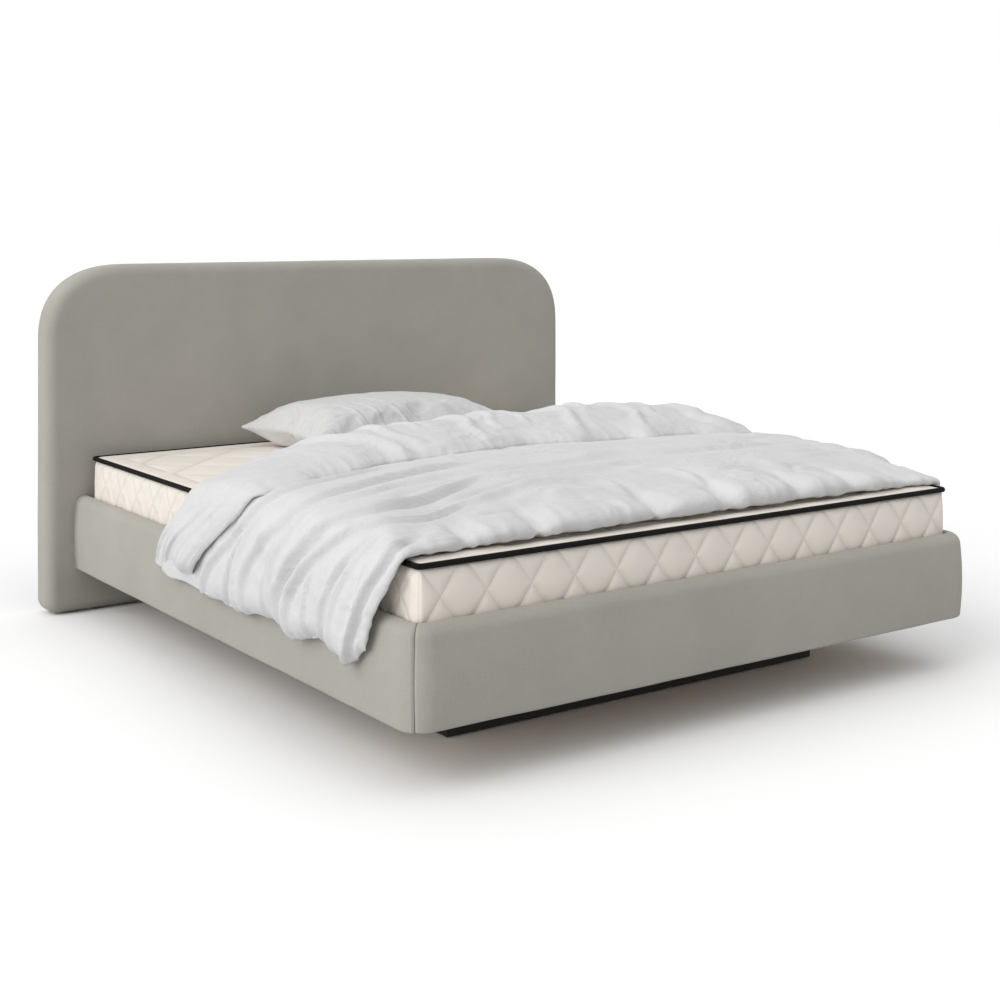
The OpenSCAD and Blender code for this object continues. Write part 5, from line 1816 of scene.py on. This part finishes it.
    cuff_creases: Tuple[Crease, ...] = (
        Crease(((-0.63, 0.16), (-0.56, 0.06), (-0.50, -0.08), (-0.43, -0.20), (-0.40, -0.32)), 0.024, 0.015),
        Crease(((-1.20, 0.12), (-1.08, 0.12), (-0.98, 0.05), (-0.90, -0.04)), 0.012, 0.004),
        Crease(((-1.20, 0.02), (-1.09, 0.02), (-1.0, -0.04), (-0.90, -0.16)), 0.012, 0.004, -1),
        Crease(((-1.20, -0.10), (-1.05, -0.12), (-0.95, -0.18), (-0.80, -0.22)), 0.014, 0.004),
        Crease(((-0.90, 0.07), (-0.74, 0.02), (-0.60, -0.09)), 0.022, 0.004),
        Crease(((-0.41, 0.14), (-0.36, 0.02), (-0.38, -0.10), (-0.32, -0.24)), 0.018, 0.007, -1),
        Crease(((-0.30, 0.10), (-0.26, 0.00), (-0.28, -0.09)), 0.013, 0.006),
        Crease(((-0.22, 0.18), (-0.12, 0.09), (-0.07, -0.04), (-0.11, -0.15), (-0.06, -0.29)), 0.022, 0.010),
        Crease(((-0.03, 0.08), (0.03, -0.02), (-0.01, -0.12), (0.02, -0.20)), 0.014, 0.006, -1),
        Crease(((0.07, 0.02), (0.12, -0.06), (0.10, -0.15)), 0.012, 0.006),
        Crease(((0.16, 0.18), (0.25, 0.08), (0.31, -0.03), (0.27, -0.15), (0.22, -0.29)), 0.022, 0.010),
        Crease(((0.37, 0.12), (0.41, 0.02), (0.38, -0.08)), 0.015, 0.006, -1),
        Crease(((0.42, 0.17), (0.53, 0.07), (0.57, -0.08), (0.50, -0.19), (0.48, -0.30)), 0.021, 0.009),
        Crease(((0.65, 0.10), (0.68, 0.0), (0.64, -0.10), (0.68, -0.18)), 0.016, 0.006),
        Crease(((0.78, 0.12), (0.84, 0.0), (0.80, -0.12), (0.86, -0.25)), 0.020, 0.009, -1),
        Crease(((0.88, -0.12), (1.0, -0.07), (1.20, 0.03)), 0.020, 0.009),
        Crease(((0.92, -0.22), (1.02, -0.20), (1.20, -0.13)), 0.016, 0.008),
        Crease(((0.90, 0.05), (1.02, 0.09), (1.20, 0.11)), 0.016, 0.007),
    )

    def build(self) -> None:
        """Makes the duvet."""
        self.slope_l = math.hypot(self.hang_x - self.shoulder_x, self.lie_z - self.hang_z)
        self.half_l = self.shoulder_x + self.slope_l + self.hem_l
        lower = self.spaced(self.under, self.hidden_rows, self.cuff_rows)
        upper = self.spaced(self.over, self.main_rows, self.hidden_rows)
        ring = np.vstack([lower, upper[::-1][1:]])
        rows = len(ring) - 1
        turned = self.turned_back(ring, len(lower))
        run = run_along(ring)
        mesh = wrapped_grid(rows, self.stations)
        layer = mesh.loops.layers.uv.verify()
        for face in mesh.faces:
            for corner in face.loops:
                part = corner[layer].uv
                corner[layer].uv = (float(np.interp(part.x * rows, range(rows + 1), run)),
                                    (part.y * 2 - 1) * self.half_l)
        held = mesh.verts.layers.float.new("held")
        for vert in mesh.verts:
            index = round((vert.co.x + 0.5) * rows)
            across = vert.co.y * 2 * self.half_l
            y, loft = ring[index]
            vert[held] = self.firmness(index, len(lower), rows, y, loft, abs(across) / self.half_l)
            vert.co = self.draped(across, y, loft, turned[index])
        joined(mesh, 3e-4)
        made = self.stuffed(mesh, held)
        self.press(made, run[-1], float(run[len(lower) - 1]), lower, upper)
        dress(made, LINEN, "duvet", ["duvet"])

    def spaced(self, points: Sequence[Point], first: int, second: int) -> Array:
        """A smooth line whose rows lie closer together on one part of it.

        Args:
            points: the places that it passes.
            first: rows up to where the cuff hides the duvet.
            second: rows from there on.

        Returns:
            The places of the rows.
        """
        fine = smooth_line(points, 900)
        cut = int(np.argmax(fine[:, 0] > self.seen_to))
        picked = np.concatenate([np.linspace(0, cut, first, endpoint=False), np.linspace(cut, 899, second)])
        return fine[np.round(picked).astype(int)]

    @staticmethod
    def turned_back(ring: Array, lower_count: int) -> Array:
        """How far each row lies across the cuff.

        Args:
            ring: the section's outline.
            lower_count: rows on its lower line.

        Returns:
            The share of the way from the fold to the cuff's free edge, or -1 before the fold.
        """
        share = np.full(len(ring), -1.0)
        fold = int(np.argmax(ring[:lower_count, 0]))
        inner = lower_count + int(np.argmax(ring[lower_count:, 0]))
        free = ring[lower_count - 1, 0]
        for low, high, tip in ((fold, lower_count, ring[fold, 0]), (lower_count, inner + 1, ring[inner, 0])):
            for index in range(low, high):
                share[index] = min(1.0, max(0.0, (tip - ring[index, 0]) / (tip - free)))
        return share

    @staticmethod
    def firmness(index: int, lower_count: int, rows: int, y: float, loft: float, side: float) -> float:
        """How firmly a place is held: fully where it lies hidden, not at all on show.

        Args:
            index: its row.
            lower_count: rows on the section's lower line.
            rows: the last row.
            y: its place along the bed.
            loft: its height over the mattress, in the middle of the bed.
            side: its share of the way to the hem.

        Returns:
            0 or 1.
        """
        if side > 0.995 or index in (0, rows, lower_count - 1):
            return 1.0
        if index < lower_count:
            return 1.0 if loft < 0.02 else 0.0
        return 1.0 if y > -0.12 else 0.0

    def draped(self, across: float, y: float, loft: float, turned: float) -> Point3:
        """Where a place of the duvet lies.

        Args:
            across: its distance from the middle of the duvet, along the cloth.
            y: its place along the bed.
            loft: its height over the mattress, in the middle of the bed.
            turned: its share of the way across the cuff, or -1 where it isn't folded back.

        Returns:
            The place.
        """
        side = -1 if across < 0 else 1
        away = abs(across)
        edge = self.half_l - away
        bend, below = self.shoulder_x, self.shoulder_x + self.slope_l
        x = lookup(away, [(0, 0), (bend, bend), (below, self.hang_x), (self.half_l, self.hang_x + 0.008)])
        z = lookup(away, [(bend, self.lie_z), (below, self.hang_z), (self.half_l, self.hang_z - self.hem_l)])
        tilt = lookup(away, [(bend - 0.12, 90), (bend + 0.02, 45), (below, 10), (self.half_l, 0)])
        turn = math.radians(tilt)
        hang = lookup(away, [(bend, 0), (self.half_l, 1)])
        thin = lookup(away, [(0.45 * bend, 0), (bend, 0.42), (below, 1)])
        hem = lookup(edge, [(0, 0.10), (0.006, 0.38), (0.02, 0.7), (0.05, 1)])
        pinch = max(math.exp(-((across - place) / 0.032) ** 2) for place in self.pinches)
        front = ease((-0.86 - y) / 0.12)
        cuff = min(1.0, max(0.0, (y - self.free_y) / self.cuff_length))
        hem += (lookup(edge, [(0, 0.06), (0.03, 0.30), (0.08, 0.75), (0.13, 1)]) - hem) * cuff
        corner = ease((away / bend - 0.62) / 0.38) * ease((-0.70 - y) / 0.25) * (0.5 if side > 0 else 0.18)
        plump = (1 - thin * (1 - self.slim)) * (1 - cuff) + lookup(across, self.fold_plump) * cuff
        loft = loft * plump * hem * (1 - 0.38 * pinch * front) * (1 - corner * (1 - hang))
        if turned < 0:
            shift = lookup(across, self.fold_shift) * ease((y + 0.35) / 0.5)
        else:
            shift = lookup(across, self.fold_shift) * (1 - turned) + lookup(across, self.free_shift) * turned
        if loft > 0.02:
            loft += self.swell(across, y + shift, turned) * min(1, (loft - 0.02) / 0.04) * (1 - 0.5 * hang)
        back = 0.075 * hang * lookup(y, [(self.foot_y, 1), (-0.585, 0)])
        lift = lookup(y + shift * 0.3, self.hem_lift)
        lift = (lift + (0.036 - lift) * ease(turned / 0.2)) * hang
        wander = noise.noise(Vector((y * 3, side, 2))) * 2
        fold = 0.014 * hang * (0.5 - 0.5 * math.cos(2 * math.pi * (y - self.foot_y) / 0.235 + wander))
        scallop = front * (0.020 * pinch - 0.010) * (1 - hang)
        return (side * (x + fold + loft * math.cos(turn)), y + shift + back + scallop,
                z + lift + loft * math.sin(turn))

    @staticmethod
    def swell(across: float, y: float, turned: float) -> float:
        """Slow heaps of filling under the cover, and puffs along the cuff.

        Args:
            across: place across the bed, along the cloth.
            y: place along the bed.
            turned: its share of the way across the cuff, or -1 where it isn't folded back.

        Returns:
            The height that it adds.
        """
        key = Vector((across * 2.2, y * 2.2, 2.0))
        heap = noise.noise(key) * 0.010 + noise.noise(key * 2.3) * 0.005
        if turned >= 0:
            puff = noise.noise(Vector((across * 5.0 + turned * 1.5, 3.0, 1.0))) * 0.014
            heap += puff * min(1.0, (1 - turned) * 2.5)
        return heap

    def stuffed(self, mesh: Mesh, held: bmesh.types.BMLayerItem) -> bpy.types.Object:
        """Lets the cover buckle over its filling, and keeps the result.

        Args:
            mesh: the cover, which is freed.
            held: its layer that says how firmly each vertex is held.

        Returns:
            The object.
        """
        pinned = np.array([vert[held] for vert in mesh.verts])
        made = new_object("duvet_folded_back", mesh)
        cloth = Cloth(frames=24, pressure=0.35, bend=0.12, limit=0.03)
        cloth.run(made, np.array([0.0, -0.4, self.lie_z]), self.loose, pinned)
        return made

    def press(self, made: bpy.types.Object, total: float, cuff_end: float, lower: Array,
              upper: Array) -> None:
        """Refines the cover and presses its long creases and small wrinkles into it.

        Args:
            made: the duvet.
            total: length of the section's outline.
            cuff_end: run along it at the cuff's free edge.
            lower: the section's lower line, with the cuff's outside.
            upper: the section's upper line.
        """
        places, normals = refined(made)
        fine = made.data
        count = len(places)
        corners = np.empty(len(fine.loops), dtype=np.int32)
        fine.loops.foreach_get("vertex_index", corners)
        cloth = np.empty(len(fine.loops) * 2)
        fine.uv_layers[0].uv.foreach_get("vector", cloth)
        cloth = cloth.reshape(-1, 2)
        along, across = np.zeros(count), np.zeros(count)
        along[corners], across[corners] = cloth[:, 0], cloth[:, 1]
        run = run_along(upper)
        turn = int(np.argmax(upper[:, 0]))
        y = np.interp(total - along, run[:turn], upper[:turn, 0])
        on_top = (along > cuff_end) & (y < 0.05)
        below = run_along(lower)
        fold = int(np.argmax(lower[:, 0]))
        y_under = np.interp(along, below, lower[:, 0])
        on_cuff = (along <= cuff_end) & (along > below[fold] - 0.05)
        underneath = along <= below[fold] - 0.05
        lining = (along > cuff_end) & (total - along > run[turn])
        y_lining = np.interp(total - along, run[turn:], upper[turn:, 0])
        place = np.where(underneath | on_cuff, y_under, np.where(lining, y_lining, y))
        plain = sum(crease.height(across, place) for crease in self.creases)
        folded = sum(crease.height(across, place) for crease in self.cuff_creases)
        lift = np.where(on_top, plain, 0.0) + np.where(on_cuff, folded, 0.0)
        rim = eased((self.half_l - np.abs(across)) / 0.05)
        lift = (lift + self.wrinkles(across, along, place, on_cuff | lining)) * rim
        places += normals * lift[:, None]
        hang = np.clip((np.abs(across) - self.shoulder_x - 0.06) / 0.1, 0, 1)
        shared = np.where(on_cuff | lining, folded, plain)
        pushed = np.where(underneath, hang * np.maximum(plain, 0.0) * rim, 0.0)
        places[:, 0] += np.sign(across) * (pushed + (1 - rim) * np.clip(shared, -0.007, 0.02))
        move_to(fine, places)
        self.close_hems(fine)

    def wrinkles(self, across: Array, along: Array, place: Array,
                 cuff: Array) -> Array:
        """Small wrinkles: a crumple all over, and puckers that run away from each sewn edge.

        Args:
            across: places across the bed, along the cloth.
            along: places along the section's outline.
            place: places along the bed.
            cuff: where the cloth is folded back.

        Returns:
            The lift at each place.
        """
        slow = (noise_at(across * 9, along * 26, 4.0) * 0.0018
                + noise_at(across * 31, along * 34, 8.0) * 0.0008)
        patch = np.clip(0.5 + 1.6 * noise_at(across * 2.6, along * 2.6, 6.0), 0.1, 1)
        crumple = wrinkled(across * 6 + along * 5, along * 15 - across * 5, 11.0)
        to_cuff = np.minimum(np.abs(place - self.free_y), np.abs(place - self.fold_y))
        end = np.where(cuff, to_cuff, np.abs(place - self.foot_y))
        to_end = wrinkled(across * 24, place * 5 + across * 3, 14.0, 2.4) * np.exp(-end / 0.09)
        to_hem = wrinkled(across * 5, along * 22, 17.0, 2.4) * np.exp((np.abs(across) - self.half_l) / 0.12)
        return slow + patch * crumple * 0.0034 + to_end * 0.0042 + to_hem * 0.0042

    @staticmethod
    def close_hems(data: bpy.types.Mesh) -> None:
        """Closes the two side hems with a narrow strip between the cover's layers.

        Args:
            data: the duvet's mesh.
        """
        mesh = bmesh.new()
        mesh.from_mesh(data)
        layer = mesh.loops.layers.uv.verify()
        left = {edge for edge in mesh.edges if edge.is_boundary}
        while left:
            start = min((vert for edge in left for vert in edge.verts), key=lambda vert: vert.co.y)
            line = [start]
            edge = next(edge for edge in start.link_edges if edge in left)
            while edge is not None:
                left.discard(edge)
                vert = edge.other_vert(line[-1])
                if vert is not start:
                    line.append(vert)
                edge = next((edge for edge in vert.link_edges if edge in left), None)
            cloth = {vert: vert.link_loops[0][layer].uv.copy() for vert in line}
            made = [mesh.faces.new((line[0], line[1], line[-1]))]
            first, last = 1, len(line) - 1
            while first + 1 < last:
                ahead = (line[first + 1].co - line[last].co).length
                behind = (line[first].co - line[last - 1].co).length
                if ahead <= behind:
                    made.append(mesh.faces.new((line[first], line[first + 1], line[last])))
                    first += 1
                else:
                    made.append(mesh.faces.new((line[first], line[last - 1], line[last])))
                    last -= 1
            for face in made:
                face.smooth = True
                for corner in face.loops:
                    corner[layer].uv = cloth[corner.vert]
        bmesh.ops.recalc_face_normals(mesh, faces=mesh.faces)
        mesh.to_mesh(data)
        mesh.free()
        data.update()


# Carcass


@dataclass
class Carcass:
    """The joinery, base and fittings, whose nodes stay and get their finishes."""

    def build(self) -> None:
        """Dresses every node that isn't replaced."""
        pine = {grain: Timber(f"pine_{grain.name.lower()}", "pine", grain) for grain in Grain}
        birch = {grain: Timber(f"birch_board_{grain.name.lower()}", "birch_board", grain,
                               shade(228, 205, 168), shade(200, 168, 124), 0.006, 0.5) for grain in Grain}
        black = BlackBoard("black_plinth_board", "plinth_black")
        plans: List[Tuple[Tuple[str, ...], Finish]] = [
            (("headboard_left_stile", "headboard_right_stile", "foot_corner_posts", "plinth_corner_blocks"),
             pine[Grain.UPRIGHT]),
            (("headboard_top_rail", "headboard_bolt_rail", "headboard_bottom_rail", "headboard_corner_blocks",
              "front_bearer", "middle_bearer", "rear_bearer"), pine[Grain.ACROSS]),
            (("left_slat_ledge", "right_slat_ledge", "centre_beam"), pine[Grain.ALONG]),
            (("left_rail_board", "right_rail_board"), birch[Grain.ALONG]),
            (("foot_rail_board", "headboard_panel"), birch[Grain.ACROSS]),
            (tuple(f"slat_{number:02d}" for number in range(1, 13)), birch[Grain.ACROSS]),
            (("plinth_front_board", "plinth_back_board", "plinth_left_board", "plinth_right_board",
              "plinth_centre_board"), black),
            (("bearer_brackets", "head_brackets", "corner_plates", "bed_bolts"),
             Steel("zinc_steel", "steel")),
            (("slat_tapes",), Tape("slat_webbing", "slat_tape", shade(214, 208, 192), 0.0035)),
            (("floor_glides",), Moulded("black_glide", "glide_plastic")),
            (("mattress_spring_core",),
             Fleece("spring_cloth", "spring_block", shade(225, 222, 214), 500)),
        ]
        for nodes, finish in plans:
            for name in nodes:
                self.dress_node(name, finish)

    @staticmethod
    def dress_node(name: str, finish: Finish) -> None:
        """Gives one node its finish.

        Args:
            name: the node's name.
            finish: what it is made of.
        """
        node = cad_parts.get(name)
        if node is None:
            log.warning("%s: no such node", name)
            return
        for place in node.material_slots:
            place.link = "OBJECT"
            place.material = finish.material()
        log.info("%s: %s", name, finish.name)


# Studio


@dataclass
class Studio:
    """Pale floor, plain soft light, and the camera of the photograph."""

    camera_place: Point3 = (-2.780, -4.039, 1.279)
    camera_turn: float = -35.08
    lens: float = 57.15
    sensor: float = 36.0
    shift: float = -0.279
    sky: float = 0.56
    suns: Tuple[Tuple[float, float, float, float], ...] = ((1.70, -86, 64, 60), (0.42, 0, 0, 80))
    floor_half: float = 60.0

    def build(self) -> None:
        """Makes the camera, the lights and the floor."""
        self.camera()
        for number, sun in enumerate(self.suns):
            self.sun(number, *sun)
        self.world()
        self.floor()

    def camera(self) -> None:
        """Places the camera."""
        data = bpy.data.cameras.new("studio_camera")
        data.lens, data.sensor_width, data.shift_y = self.lens, self.sensor, self.shift
        made = bpy.data.objects.new("studio_camera", data)
        made.location = self.camera_place
        made.rotation_euler = (math.pi / 2, 0, math.radians(self.camera_turn))
        bpy.context.collection.objects.link(made)
        bpy.context.scene.camera = made

    @staticmethod
    def sun(number: int, strength: float, azimuth: float, tilt: float, spread: float) -> None:
        """A wide soft light from far away.

        Args:
            number: which one it is.
            strength: its light.
            azimuth: the way it comes from, in degrees clockwise from the foot of the bed.
            tilt: how far it leans from straight above.
            spread: its width in degrees.
        """
        data = bpy.data.lights.new(f"soft_light_{number}", "SUN")
        data.energy, data.angle = strength, math.radians(spread)
        made = bpy.data.objects.new(f"soft_light_{number}", data)
        made.rotation_euler = (math.radians(tilt), 0, math.radians(azimuth))
        bpy.context.collection.objects.link(made)

    def world(self) -> None:
        """Even light all round, white to the camera and in gloss."""
        paint = Paint(bpy.data.worlds.new("studio"))
        path = paint.node("ShaderNodeLightPath")
        seen = path.most(path.out("Is Glossy Ray"))
        strength = paint.node("ShaderNodeMapRange", {}, {"Value": seen, "To Min": self.sky, "To Max": 1.0})
        back = paint.node("ShaderNodeBackground", {}, {"Color": (1.0, 1.0, 1.0), "Strength": strength})
        paint.node("ShaderNodeOutputWorld", {}, {"Surface": back})
        bpy.context.scene.world = paint.owner

    def floor(self) -> None:
        """Lays the floor."""
        mesh = bmesh.new()
        bmesh.ops.create_grid(mesh, x_segments=4, y_segments=4, size=self.floor_half)
        made = new_object("studio_floor", mesh)
        made.data.materials.append(StudioFloor("studio_floor", "").material())


def main() -> None:
    """Builds the studio and the bed."""
    scene = bpy.context.scene
    scene.view_settings.view_transform = "Standard"
    Studio().build()
    Headboard().build()
    Rails().build()
    Mattress().build()
    Carcass().build()
    Pillow().build()
    Duvet().build()


if __name__ == "__main__":
    main()
